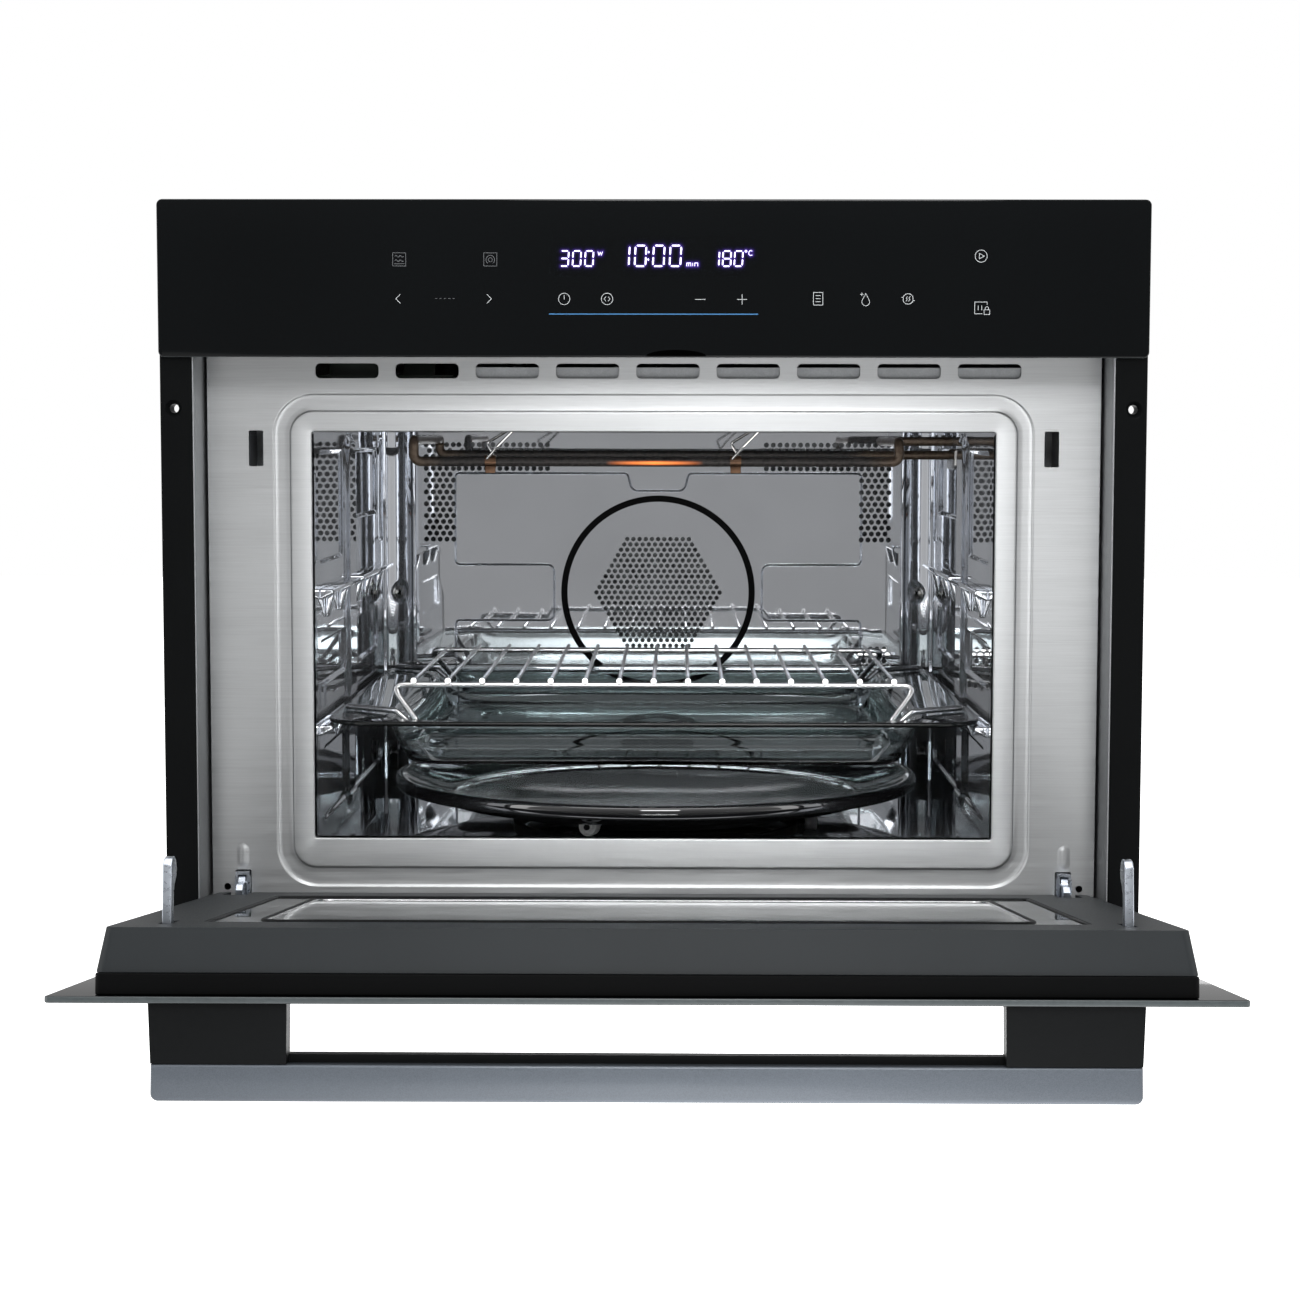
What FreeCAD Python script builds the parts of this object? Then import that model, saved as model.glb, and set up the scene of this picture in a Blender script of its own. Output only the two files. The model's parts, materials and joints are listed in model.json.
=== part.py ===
"""Built-in compact combination oven with a drop-down door, modelled with the door open.

Units are millimetres.  X runs to the right, Y into the oven and Z up.  The origin lies on the
underside of the housing, at the middle of its width, in the plane of the stainless front plate.
The door is modelled upright, in its closed place, and then swung open about its hinge line.
"""
import FreeCAD, Part
import math
import os

os.makedirs("parts", exist_ok=True)
V = FreeCAD.Vector

# Overall sizes
FACE_HALF = 297.5          # half width of the glass door and of the control panel
FACE_FRONT = -40.0         # outer face of the glass
GLASS = 3.5                # thickness of the outer glass
CABINET_FACE = -18.0       # plane of the cabinet front, where the side trims seat
PANEL_BOTTOM = 361.0
PANEL_TOP = 455.0
HOUSING_HALF = 278.4
HOUSING_TOP = 447.0
HOUSING_BACK = 527.0
SHEET = 1.0

# Cavity
CAVITY_HALF = 211.0
CAVITY_FLOOR = 47.7
CAVITY_CEILING = 322.0
CHAMFER_START = 401.0
BACK_WALL = 421.0
BACK_HALF = 191.0
OPENING_BOTTOM = 63.1
OPENING_TOP = 316.3
FAN_Z = 191.8

# Door, given in its closed place
DOOR_BOTTOM = 2.0
DOOR_TOP = 358.0
DOOR_INNER_FACE = -3.25
HINGE_Y = -13.2
HINGE_Z = 20.5
DOOR_OPEN = 83.0
HINGE_X = 256.2
LATCH_X = 245.9
GLASS_SWEEP = 16.0         # parts near the cabinet face start above this height

# Turntable
TABLE_Y = 212.0
ROLLER_R = 6.3
ROLLER_RING = 110.7
ROLLER_ANGLES = (-112.9, 7.1, 127.1)

# Tray and rack
TRAY_TOP = 135.0
TRAY_HALF = 207.0
TRAY_FRONT = 12.0
TRAY_BACK = 415.0


# ---------------------------------------------------------------- helpers
def box(x0, x1, y0, y1, z0, z1):
    return Part.makeBox(x1 - x0, y1 - y0, z1 - z0, V(x0, y0, z0))


def rod(radius, start, direction, length):
    return Part.makeCylinder(radius, length, V(*start), V(*direction))


def fuse(shapes):
    shapes = list(shapes)
    result = shapes[0]
    if len(shapes) > 1:
        result = result.fuse(shapes[1:])
    return result.removeSplitter()


def cut(shape, tools):
    return shape.cut(list(tools)).removeSplitter()


def mirrored(shape):
    return shape.mirror(V(0, 0, 0), V(1, 0, 0))


def polygon(points):
    corners = [V(*p) for p in points]
    return Part.makePolygon(corners + corners[:1])


def prism_x(points_yz, x0, x1):
    face = Part.Face(polygon([(x0, y, z) for y, z in points_yz]))
    return face.extrude(V(x1 - x0, 0, 0))


def prism_y(points_xz, y0, y1):
    face = Part.Face(polygon([(x, y0, z) for x, z in points_xz]))
    return face.extrude(V(0, y1 - y0, 0))


def prism_z(points_xy, z0, z1):
    face = Part.Face(polygon([(x, y, z0) for x, y in points_xy]))
    return face.extrude(V(0, 0, z1 - z0))


def rounded_wire(x0, x1, z0, z1, radius, y):
    """Rectangle with round corners in a plane of constant Y."""
    k = radius * (1 - math.sqrt(0.5))
    left, right, low, high = x0 + radius, x1 - radius, z0 + radius, z1 - radius
    edges = [
        Part.LineSegment(V(left, y, z0), V(right, y, z0)),
        Part.Arc(V(right, y, z0), V(x1 - k, y, z0 + k), V(x1, y, low)),
        Part.LineSegment(V(x1, y, low), V(x1, y, high)),
        Part.Arc(V(x1, y, high), V(x1 - k, y, z1 - k), V(right, y, z1)),
        Part.LineSegment(V(right, y, z1), V(left, y, z1)),
        Part.Arc(V(left, y, z1), V(x0 + k, y, z1 - k), V(x0, y, high)),
        Part.LineSegment(V(x0, y, high), V(x0, y, low)),
        Part.Arc(V(x0, y, low), V(x0 + k, y, z0 + k), V(left, y, z0)),
    ]
    return Part.Wire([e.toShape() for e in edges])


def rounded_plate(x0, x1, z0, z1, radius, y0, y1):
    return Part.Face(rounded_wire(x0, x1, z0, z1, radius, y0)).extrude(V(0, y1 - y0, 0))


def circle_y(x, z, radius, y):
    return Part.Wire([Part.makeCircle(radius, V(x, y, z), V(0, 1, 0))])


def pierced_plate(outline, holes, y0, y1):
    """Flat plate between y0 and y1 with through holes; all wires lie at y0."""
    face = Part.makeFace([outline] + list(holes), "Part::FaceMakerBullseye")
    return face.extrude(V(0, y1 - y0, 0))


def bent_rod(points, bend, radius):
    """Round rod along a polyline whose inner corners are bent to a radius."""
    pts = [V(*p) for p in points]
    edges = []
    cursor = pts[0]
    for before, corner, after in zip(pts, pts[1:], pts[2:]):
        inward = (before - corner).normalize()
        onward = (after - corner).normalize()
        half = inward.getAngle(onward) / 2
        run = bend / math.tan(half)
        first = corner + inward * run
        last = corner + onward * run
        middle_way = (inward + onward).normalize()
        middle = corner + middle_way * (bend / math.sin(half) - bend)
        edges.append(Part.LineSegment(cursor, first).toShape())
        edges.append(Part.Arc(first, middle, last).toShape())
        cursor = last
    edges.append(Part.LineSegment(cursor, pts[-1]).toShape())
    path = Part.Wire(edges)
    way = pts[1] - pts[0]
    profile = Part.Wire([Part.makeCircle(radius, pts[0], way)])
    return path.makePipeShell([profile], True, True)


def revolved_z(points_rz, centre_y):
    face = Part.Face(polygon([(r, centre_y, z) for r, z in points_rz]))
    return face.revolve(V(0, centre_y, 0), V(0, 0, 1), 360)


def opened(shape):
    """Swing a shape from the closed door place to the open one."""
    moved = shape.copy()
    moved.rotate(V(0, HINGE_Y, HINGE_Z), V(1, 0, 0), DOOR_OPEN)
    return moved


def save(name, shape):
    solids = shape.Solids
    if len(solids) == 1:
        shape = solids[0]
    if not shape.isValid():
        print("INVALID", name)
    shape.exportStep("parts/" + name + ".step")
    print(name, len(solids), "solids", round(shape.Volume), "mm3")


# ---------------------------------------------------------------- housing sheets
def make_housing():
    save("base_plate", box(-277.2, 277.2, -4, HOUSING_BACK - 1.2, 0, 1.2))
    # the lower front corners stay clear of the door glass as it swings under the housing
    back, top = HOUSING_BACK - 1.2, HOUSING_TOP - 1
    profile = [(-35, GLASS_SWEEP), (-16, 1.4), (back, 1.4), (back, top), (-35, top)]
    side = prism_x(profile, HOUSING_HALF - SHEET, HOUSING_HALF)
    save("side_panel_right", side)
    save("side_panel_left", mirrored(side))
    save("top_cover", box(-HOUSING_HALF, HOUSING_HALF, -3.5, HOUSING_BACK - 1.2, HOUSING_TOP - 1, HOUSING_TOP))

    louvres = [
        rounded_wire(x, x + 60, z, z + 5, 2.4, HOUSING_BACK - 1)
        for x in (-180, -100, -20, 60, 140)
        for z in (120, 134, 148, 162, 176)
    ]
    inlet = circle_y(-225, 400, 9.0, HOUSING_BACK - 1)
    outline = rounded_wire(-HOUSING_HALF, HOUSING_HALF, 0, HOUSING_TOP, 2, HOUSING_BACK - 1)
    save("rear_cover", pierced_plate(outline, louvres + [inlet], HOUSING_BACK - 1, HOUSING_BACK))

    top = PANEL_TOP - 1.5
    profile = [(-35.5, GLASS_SWEEP), (CABINET_FACE, 4), (CABINET_FACE, top), (-35.5, top)]
    trim = prism_x(profile, 278.6, FACE_HALF)
    through = rod(2.75, (289.6, -36, 330.2), (0, 1, 0), 20)
    seat = Part.makeCone(5.2, 2.75, 3.4, V(289.6, -35.5, 330.2), V(0, 1, 0))
    trim = cut(trim, [through, seat])
    save("side_trim_right", trim)
    save("side_trim_left", mirrored(trim))


def vent_slots(y):
    return [
        rounded_wire(x - 19.5, x + 19.5, 349.1, 358.3, 3, y)
        for x in [8.9 + 49.44 * i for i in range(-4, 5)]
    ]


def make_front_plate():
    opening = rounded_wire(-CAVITY_HALF, CAVITY_HALF, OPENING_BOTTOM, OPENING_TOP, 4, 0)
    latch = [rounded_wire(x - 4.5, x + 4.5, 295, 317, 1, 0) for x in (-245.5, 245.5)]
    hinge = [rounded_wire(x - 5, x + 5, 25, 43, 1, 0) for x in (-HINGE_X, HINGE_X)]
    screws = [circle_y(x, 32.2, 2.2, 0) for x in (-266.3, 266.3)]
    outline = rounded_wire(-275.4, 275.4, 3, 366, 2, 0)
    plate = pierced_plate(outline, vent_slots(0) + latch + hinge + screws + [opening], 0, 1.5)
    outer = rounded_plate(-234.5, 234.5, 33, 339.3, 25, -0.1, 0.7)
    inner = rounded_plate(-224, 224, 45, 328.6, 14, -0.2, 0.8)
    save("front_plate", cut(plate, [outer.cut(inner)]))


# ---------------------------------------------------------------- control panel
def make_panel():
    glass = rounded_plate(-FACE_HALF, FACE_HALF, PANEL_BOTTOM, PANEL_TOP, 3.5, FACE_FRONT, FACE_FRONT + GLASS)
    save("panel_glass", glass)
    front = box(-277, 277, -36.4, -19, 362, 454)
    back = box(-277, 277, -19, -4, 362, 445.5)
    room = box(-270, 270, -34.4, -3, 369, 440)
    window = box(-80, 80, -37, -34, 372, 440)
    save("panel_carrier", cut(fuse([front, back]), [room, window]))
    board = box(-240, 240, -30, -28.4, 375, 438)
    lens = box(-66, 66, -36.4, -30, 408, 434)
    pads = [box(x - 6, x + 6, -34.3, -30, 390, 402) for x in (-152.5, -97.5, 96, 127, 153, 196)]
    save("display_module", fuse([board, lens] + pads))


# ---------------------------------------------------------------- cavity
def shelf_ledge(y0, y1, top):
    profile = [(CAVITY_HALF + 0.5, top), (202.5, top), (202.5, top - 3), (CAVITY_HALF + 0.5, top - 7.5)]
    return prism_y(profile, y0, y1)


def make_cavity():
    wall = prism_z(
        [(211, 1.5), (211, 401), (191, 421), (192.42, 421), (212, 401.42), (212, 1.5)],
        CAVITY_FLOOR, CAVITY_CEILING)
    ledges = [
        shelf_ledge(22, 396, 131.2),
        shelf_ledge(30, 175, 217),
        shelf_ledge(197, 384, 217),
    ]
    lead_holes = [rod(5, (200, y, z), (1, 0, 0), 20) for y, z in ((290, 300), (262, 310))]
    left = fuse([wall] + ledges)
    save("cavity_side_left", mirrored(left))
    save("cavity_side_right", cut(left, lead_holes))

    plan = [(-212, 1.5), (212, 1.5), (212, 401.42), (191.42, 422), (-191.42, 422), (-212, 401.42)]
    ceiling = prism_z(plan, CAVITY_CEILING, CAVITY_CEILING + SHEET)
    lamp_hole = rod(18, (150, 70, 320), (0, 0, 1), 6)
    feed = box(60, 120, 160, 200, 320, 325)
    save("cavity_ceiling", cut(ceiling, [lamp_hole, feed]))
    floor = prism_z(plan, CAVITY_FLOOR - SHEET, CAVITY_FLOOR)
    save("cavity_floor", cut(floor, [rod(7, (0, TABLE_Y, 40), (0, 0, 1), 12)]))
    make_back_wall()


def hole_grid(x0, x1, z0, z1, pitch, radius, y):
    """Staggered rows of round holes that fill a rectangle."""
    wires = []
    rows = int((z1 - z0) / (pitch * 0.866)) + 1
    for j in range(rows):
        shift = 0.5 * (j % 2)
        count = int((x1 - x0) / pitch - shift) + 1
        for i in range(count):
            wires.append(circle_y(x0 + (i + shift) * pitch, z0 + j * pitch * 0.866, radius, y))
    return wires


def make_back_wall():
    y = BACK_WALL
    holes = [circle_y(0, FAN_Z, 75.5, y)]
    for side in (-1, 1):
        low, high = sorted((side * 180.5, side * 158.0))
        holes += hole_grid(low, high, 233, 308, 5.3, 2.0, y)
        low, high = sorted((side * 155.0, side * 84.0))
        holes += hole_grid(low, high, 288.1, 308, 5.3, 2.0, y)
    holes += hole_grid(158, 180.5, 134, 152, 5.3, 2.0, y)
    outline = rounded_wire(-BACK_HALF - 1.4, BACK_HALF + 1.4, CAVITY_FLOOR, CAVITY_CEILING, 0.5, y)
    save("cavity_back_wall", pierced_plate(outline, holes, y, y + SHEET))

    pitch = 4.8
    hexagon = []
    for j in range(-10, 11):
        count = 21 - abs(j)
        for i in range(count):
            hexagon.append(circle_y((i - (count - 1) / 2) * pitch, FAN_Z + j * pitch * 0.866, 1.7, y - 1))
    disc = circle_y(0, FAN_Z, 70.6, y - 1)
    save("fan_cover", pierced_plate(disc, hexagon, y - 1, y))
    ring = pierced_plate(circle_y(0, FAN_Z, 79, y + 1), [circle_y(0, FAN_Z, 68.5, y + 1)], y + 1, y + 3)
    lip = pierced_plate(circle_y(0, FAN_Z, 70.6, y), [circle_y(0, FAN_Z, 68.5, y)], y, y + 1)
    save("fan_seal_ring", fuse([ring, lip]))


# ---------------------------------------------------------------- convection unit
def make_convection():
    outer = box(-152, 152, 422, 472, 66, 312)
    inner = box(-151, 151, 421, 471, 67, 311)
    holes = [rod(5.5, (0, 465, FAN_Z), (0, 1, 0), 12)]
    holes += [rod(5, (x, 465, FAN_Z + 88), (0, 1, 0), 12) for x in (-12, 12)]
    save("fan_chamber", cut(outer, [inner] + holes))

    ring = Part.makeTorus(88, 3.2, V(0, 445, FAN_Z), V(0, 1, 0))
    gap = box(-9, 9, 435, 455, FAN_Z + 70, FAN_Z + 100)
    leads = [rod(3.2, (x, 445, FAN_Z + 87.2), (0, 1, 0), 40) for x in (-12, 12)]
    save("ring_heater", fuse([cut(ring, [gap])] + leads))

    shaft = rod(4, (0, 428, FAN_Z), (0, 1, 0), 92)
    hub = rod(14, (0, 430, FAN_Z), (0, 1, 0), 16)
    disc = rod(62, (0, 450, FAN_Z), (0, 1, 0), 1.5)
    spacer = rod(14, (0, 445, FAN_Z), (0, 1, 0), 6)
    blades = []
    for k in range(12):
        blade = box(20, 61, 430, 450.5, FAN_Z - 0.8, FAN_Z + 0.8)
        blade.rotate(V(20, 0, FAN_Z), V(0, 1, 0), 25)
        blade.rotate(V(0, 0, FAN_Z), V(0, 1, 0), 30 * k)
        blades.append(blade)
    tail_disc = rod(20, (0, 513, FAN_Z), (0, 1, 0), 2)
    tail_blades = []
    for k in range(8):
        blade = box(10, 42, 508, 515, FAN_Z - 0.7, FAN_Z + 0.7)
        blade.rotate(V(0, 0, FAN_Z), V(0, 1, 0), 45 * k)
        tail_blades.append(blade)
    save("convection_fan", fuse([shaft, hub, disc, spacer, tail_disc] + blades + tail_blades))

    motor = rod(36, (0, 476, FAN_Z), (0, 1, 0), 26)
    foot = box(-50, 50, 472, 477, FAN_Z - 12, FAN_Z + 12)
    bore = rod(4.06, (0, 460, FAN_Z), (0, 1, 0), 60)
    save("convection_motor", cut(fuse([motor, foot]), [bore]))


def make_grill():
    path = [
        (238, 290, 300),
        (-158, 290, 300),
        (-158, 290, 311),
        (-158, 100, 311),
        (-158, 100, 297),
        (160, 100, 297),
        (160, 100, 310),
        (160, 262, 310),
        (238, 262, 310),
    ]
    rod_shape = bent_rod(path, 5, 3.25)
    save("grill_heater", rod_shape)
    flange = box(212, 214, 250, 304, 290, 320)
    holes = [rod(3.35, (200, y, z), (1, 0, 0), 20) for y, z in ((290, 300), (262, 310))]
    hangers = [cut(flange, holes)]
    for x in (-107.5, 53):
        band = rod(4.3, (x - 3.6, 100, 297), (1, 0, 0), 7.2)
        tab = box(x - 3.4, x + 3.4, 96.2, 97.4, 289.5, 295)
        front_wire = bent_rod([(x - 2, 96, 299), (x + 5, 93, 307), (x + 15, 92, 317), (x + 15, 92, 322)], 1.5, 1.0)
        rear_wire = bent_rod([(x + 3, 104, 299), (x - 3, 108, 309), (x + 10, 108, 317), (x + 10, 108, 322)], 1.5, 1.0)
        groove = rod(3.35, (x - 6, 100, 297), (1, 0, 0), 12)
        hangers.append(cut(fuse([band, tab, front_wire, rear_wire]), [groove]))
    save("heater_hangers", Part.makeCompound(hangers))


# ---------------------------------------------------------------- turntable
def make_turntable():
    plate = revolved_z(
        [(0, 60.9), (147, 60.9), (152, 62.5), (172, 69.3), (180, 69.3), (182.5, 71.5), (182.5, 76.5),
         (180, 79), (176, 79), (171, 74.5), (149, 66.5), (143, 64.6), (0, 64.6)], TABLE_Y)
    save("turntable_plate", plate)
    neck = rod(6, (0, TABLE_Y, 44), (0, 0, 1), 8)
    shaft = rod(3, (0, TABLE_Y, 20), (0, 0, 1), 26)
    lobes = [rod(8, (0, TABLE_Y, 50), (0, 0, 1), 10.9)]
    for k in range(3):
        arm = box(0, 22, TABLE_Y - 4, TABLE_Y + 4, 50, 60.9)
        arm.rotate(V(0, TABLE_Y, 0), V(0, 0, 1), 120 * k + 30)
        lobes.append(arm)
    save("drive_coupler", fuse([neck, shaft] + lobes))

    body = rod(29, (0, TABLE_Y, 16), (0, 0, 1), 26)
    ears = box(-40, 40, TABLE_Y - 8, TABLE_Y + 8, 40, 42)
    posts = [rod(4, (x, TABLE_Y, 40), (0, 0, 1), CAVITY_FLOOR - SHEET - 40) for x in (-35, 35)]
    bore = rod(3.06, (0, TABLE_Y, 18), (0, 0, 1), 40)
    relief = rod(7.5, (0, TABLE_Y, 41), (0, 0, 1), 10)
    save("turntable_motor", cut(fuse([body, ears] + posts), [bore, relief]))

    ring = rod(100, (0, TABLE_Y, 51), (0, 0, 1), 6.5).cut(rod(95, (0, TABLE_Y, 50), (0, 0, 1), 9))
    pieces = [ring]
    for number, angle in enumerate(ROLLER_ANGLES, 1):
        turn = math.radians(angle)
        out = (math.cos(turn), math.sin(turn), 0)
        start = [98 * out[0], TABLE_Y + 98 * out[1], 54.3]
        pieces.append(rod(2, start, out, 18))
        inner = [106.4 * out[0], TABLE_Y + 106.4 * out[1], 54.3]
        wheel = rod(ROLLER_R, inner, out, 8.6)
        hole = rod(2.08, (inner[0] - out[0], inner[1] - out[1], 54.3), out, 12)
        save("roller_%d" % number, cut(wheel, [hole]))
    save("roller_ring", fuse(pieces))


# ---------------------------------------------------------------- machine room
def make_machine_room():
    lip = box(-116, 232, 4, 5, 343, 356)
    shell = box(-116, 232, 4, 400, 336, 343).cut(box(-115, 231, 3, 401, 337, 344))
    duct_sides = [box(-116, -115, 4, 400, 336, 360), box(231, 232, 4, 400, 336, 360)]
    neck_hole = rod(15, (90, 180, 330), (0, 0, 1), 20)
    save("air_duct", cut(fuse([lip, shell] + duct_sides), [neck_hole]))

    outer = box(-120, 120, 410, 505, 340, 435)
    inner = box(-117, 117, 413, 502, 343, 432)
    outlet = box(-117, 117, 405, 414, 343, 375)
    intake = box(-110, 110, 450, 500, 430, 440)
    bores = [rod(3.6, (100, 458, 388), (1, 0, 0), 30)]
    socket = fuse([box(-119, -110, 445, 471, 375, 401)])
    socket = cut(socket, [rod(3.06, (-116, 458, 388), (1, 0, 0), 10)])
    save("blower_housing", fuse([cut(outer, [inner, outlet, intake] + bores), socket]))
    wheel = [rod(3, (-115, 458, 388), (1, 0, 0), 250)]
    wheel += [rod(34, (x, 458, 388), (1, 0, 0), 2) for x in (-105, -1, 103)]
    for k in range(16):
        blade = box(-105, 105, 458 - 0.6, 458 + 0.6, 388 + 26, 388 + 34)
        blade.rotate(V(0, 458, 388), V(1, 0, 0), 22.5 * k)
        wheel.append(blade)
    save("blower_wheel", fuse(wheel))
    motor = rod(26, (124, 458, 388), (1, 0, 0), 40)
    stand = box(120, 126, 438, 478, 340.5, 425)
    save("blower_motor", cut(fuse([motor, stand]), [rod(3.06, (110, 458, 388), (1, 0, 0), 60)]))

    guide = box(50, 130, 150, 210, 323, 333).cut(box(52, 128, 152, 208, 320, 331))
    body = box(55, 125, 145, 225, 362, 425)
    neck = rod(14, (90, 180, 330), (0, 0, 1), 34)
    fins = [box(50, 130, 140, 230, z, z + 1) for z in (370, 380, 390, 400, 410)]
    save("magnetron", fuse([neck, body] + fins + [guide]))
    core = box(-235, -150, 150, 235, 330, 410)
    coil = box(-225, -160, 140, 245, 345, 395)
    feet = box(-240, -145, 145, 240, 323.5, 331)
    save("power_supply", fuse([core, coil, feet]))
    board = box(-250, -125, 20, 120, 350, 351.6)
    parts = [box(-240, -220, 30, 50, 351, 375), box(-205, -170, 40, 75, 351, 372), box(-160, -140, 60, 100, 351, 366)]
    posts = [rod(3, (x, y, 323.2), (0, 0, 1), 27) for x in (-205, -135) for y in (28, 112)]
    save("control_board", fuse([board] + parts + posts))
    block = box(-255, -195, 488, HOUSING_BACK - 1.2, 378, 422)
    cable = rod(5.5, (-225, 480, 400), (0, 1, 0), 60)
    gland = rod(8.8, (-225, HOUSING_BACK - 3, 400), (0, 1, 0), 14)
    save("terminal_block", cut(fuse([block, gland]), [cable]))
    lens = rod(17.9, (150, 70, 322.2), (0, 0, 1), 3)
    body = rod(24, (150, 70, 323.2), (0, 0, 1), 12)
    save("oven_lamp", fuse([lens, body]))


# ---------------------------------------------------------------- front hardware
def make_front_hardware():
    block = box(234, 259, 2, 48, 284, 328)
    pocket = box(239.5, 251.5, 1, 42, 291, 322)
    save("latch_housing_right", cut(block, [pocket]))
    save("latch_housing_left", mirrored(cut(block, [pocket])))

    # the arm is low in front of the clip's pin, where the clip's cap swings forward
    profile = [(-18, 24), (-18, 33), (-15, 36), (-2.6, 36), (-2.6, 40), (60, 40), (60, 30.5), (-4, 30.5), (-7, 20)]
    arm = prism_x(profile, HINGE_X - 2, HINGE_X + 2)
    boss = rod(4.9, (HINGE_X - 2, -2.6, 35.2), (1, 0, 0), 4)
    lobe = rod(6.4, (HINGE_X - 2, HINGE_Y, HINGE_Z), (1, 0, 0), 4)
    carrier = box(HINGE_X - 7.5, HINGE_X + 7.5, 8, 75, 3, 60).cut(box(HINGE_X - 5.5, HINGE_X + 5.5, 7, 74, 5, 58))
    bridge = box(HINGE_X - 7, HINGE_X + 7, 60, 74.5, 30.5, 40)
    bore = rod(3.08, (HINGE_X - 8, HINGE_Y, HINGE_Z), (1, 0, 0), 16)
    pin_bore = rod(1.58, (HINGE_X - 8, -2.6, 35.2), (1, 0, 0), 16)
    bracket = cut(fuse([arm, boss, lobe, carrier, bridge]), [bore, pin_bore])
    save("hinge_bracket_right", bracket)
    save("hinge_bracket_left", mirrored(bracket))

    outline = rounded_plate(HINGE_X - 4.7, HINGE_X + 4.7, 26.5, 42.5, 4.4, -5.2, -0.6)
    slot = rounded_plate(HINGE_X - 2.6, HINGE_X + 2.6, 20, 44.5, 0.5, -6, 1)
    cap = rounded_plate(HINGE_X - 4.3, HINGE_X + 4.3, 40.6, 42.3, 0.8, -5.2, -0.6)
    pin = rod(1.5, (HINGE_X - 3.5, -2.6, 35.2), (1, 0, 0), 7)
    clip = fuse([outline.cut(slot), cap, pin])
    save("hinge_clip_right", clip)
    save("hinge_clip_left", mirrored(clip))

    screws = []
    for side in (-1, 1):
        chamfer_way = V(-side, -1, 0).normalize()
        base = V(side * 203.0, 409.0, 192.5)
        screws.append(Part.makeCylinder(3.6, 1.6, base + chamfer_way * 0.02, chamfer_way))
        screws.append(rod(3.6, (side * 211.0 - side * 0.02, 310, 205.5), (-side, 0, 0), 1.6))
    save("cavity_screws", Part.makeCompound(screws))


# ---------------------------------------------------------------- door
def make_door():
    glass = rounded_plate(-FACE_HALF, FACE_HALF, DOOR_BOTTOM, DOOR_TOP, 3, FACE_FRONT, FACE_FRONT + GLASS)
    save("door_glass", opened(glass))

    notches = [box(s * HINGE_X - 7, s * HINGE_X + 7, -27.5, 0, 10, 46) for s in (-1, 1)]
    base = rounded_plate(-273.6, 273.6, 13.5, 353.5, 4, -36.4, -25.6)
    hollow = rounded_plate(-222, 222, 60, 300, 6, -37, -25)
    save("door_base_frame", opened(cut(base, [hollow] + notches)))

    front = rounded_wire(-274.0, 274.0, 13.5, 350.5, 5, -25.5)
    rear = rounded_wire(-270.2, 270.2, 14.5, 345.5, 5, DOOR_INNER_FACE)
    body = Part.makeLoft([front, rear], True)
    recess = rounded_plate(-229, 229, 52, 302, 5, -7.2, 0)
    through = rounded_plate(-216, 216, 66, 290, 5, -30, 0)
    latch_slots = [box(s * LATCH_X - 3.3, s * LATCH_X + 3.3, -22.5, 0, 293, 319) for s in (-1, 1)]
    latch_bores = [rod(2.08, (s * LATCH_X - 6, -16, 307), (1, 0, 0), 12) for s in (-1, 1)]
    save("door_inner_frame", opened(cut(body, [recess, through] + notches + latch_slots + latch_bores)))

    save("door_inner_glass", opened(rounded_plate(-227.5, 227.5, 53.5, 300.5, 4, -7.1, -4.3)))
    save("door_screen", opened(rounded_plate(-215, 215, 67, 289, 4, -13, -12.2)))

    for name, side in (("left", -1), ("right", 1)):
        cheeks = [
            box(side * HINGE_X - 6.4, side * HINGE_X - 4.4, -26, -6.5, 15, 45),
            box(side * HINGE_X + 4.4, side * HINGE_X + 6.4, -26, -6.5, 15, 45),
            box(side * HINGE_X - 6.4, side * HINGE_X + 6.4, -27.3, -25, 15, 45),
        ]
        pin = rod(3, (side * HINGE_X - 6.4, HINGE_Y, HINGE_Z), (1, 0, 0), 12.8)
        save("hinge_knuckle_" + name, opened(fuse(cheeks + [pin])))

        hook = prism_x(
            [(-21, 302.5), (-3.3, 302.5), (-3.3, 304), (12, 304), (16, 302), (20, 297.5), (24, 296.5),
             (28.5, 299), (30.5, 303), (29.5, 308), (26.5, 311), (-21, 311.5)],
            side * LATCH_X - 2.35, side * LATCH_X + 2.35)
        stub = rod(2, (side * LATCH_X - 5.6, -16, 307), (1, 0, 0), 11.2)
        save("latch_hook_" + name, opened(fuse([hook, stub])))

    handle_bar = prism_z([(-245.5, -88.7), (245.5, -88.7), (245.5, -70.3), (-245.5, -70.3)], 342, 352)
    edges = [e for e in handle_bar.Edges if abs(e.BoundBox.ZLength - 10) < 0.01 and e.BoundBox.YMax < -88]
    save("handle_bar", opened(handle_bar.makeFillet(3.8, edges)))
    posts = []
    for side in (-1, 1):
        inner, outer_top, outer_low = 178.0 * side, 247.0 * side, 245.5 * side
        post = prism_z([(inner, FACE_FRONT - 0.1), (outer_top, FACE_FRONT - 0.1), (outer_low, -70.2), (inner, -70.2)], 339, 352)
        posts.append(post)
        posts.append(box(min(inner, outer_low), max(inner, outer_low), -84, -66.3, 331, 341.9))
        posts.append(box(min(inner, outer_low), max(inner, outer_low), -70.2, -66.3, 331, 342))
    rail = box(-178.5, 178.5, -84, -66.3, 331, 341.9)
    save("handle_mount", opened(fuse(posts + [rail])))


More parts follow.
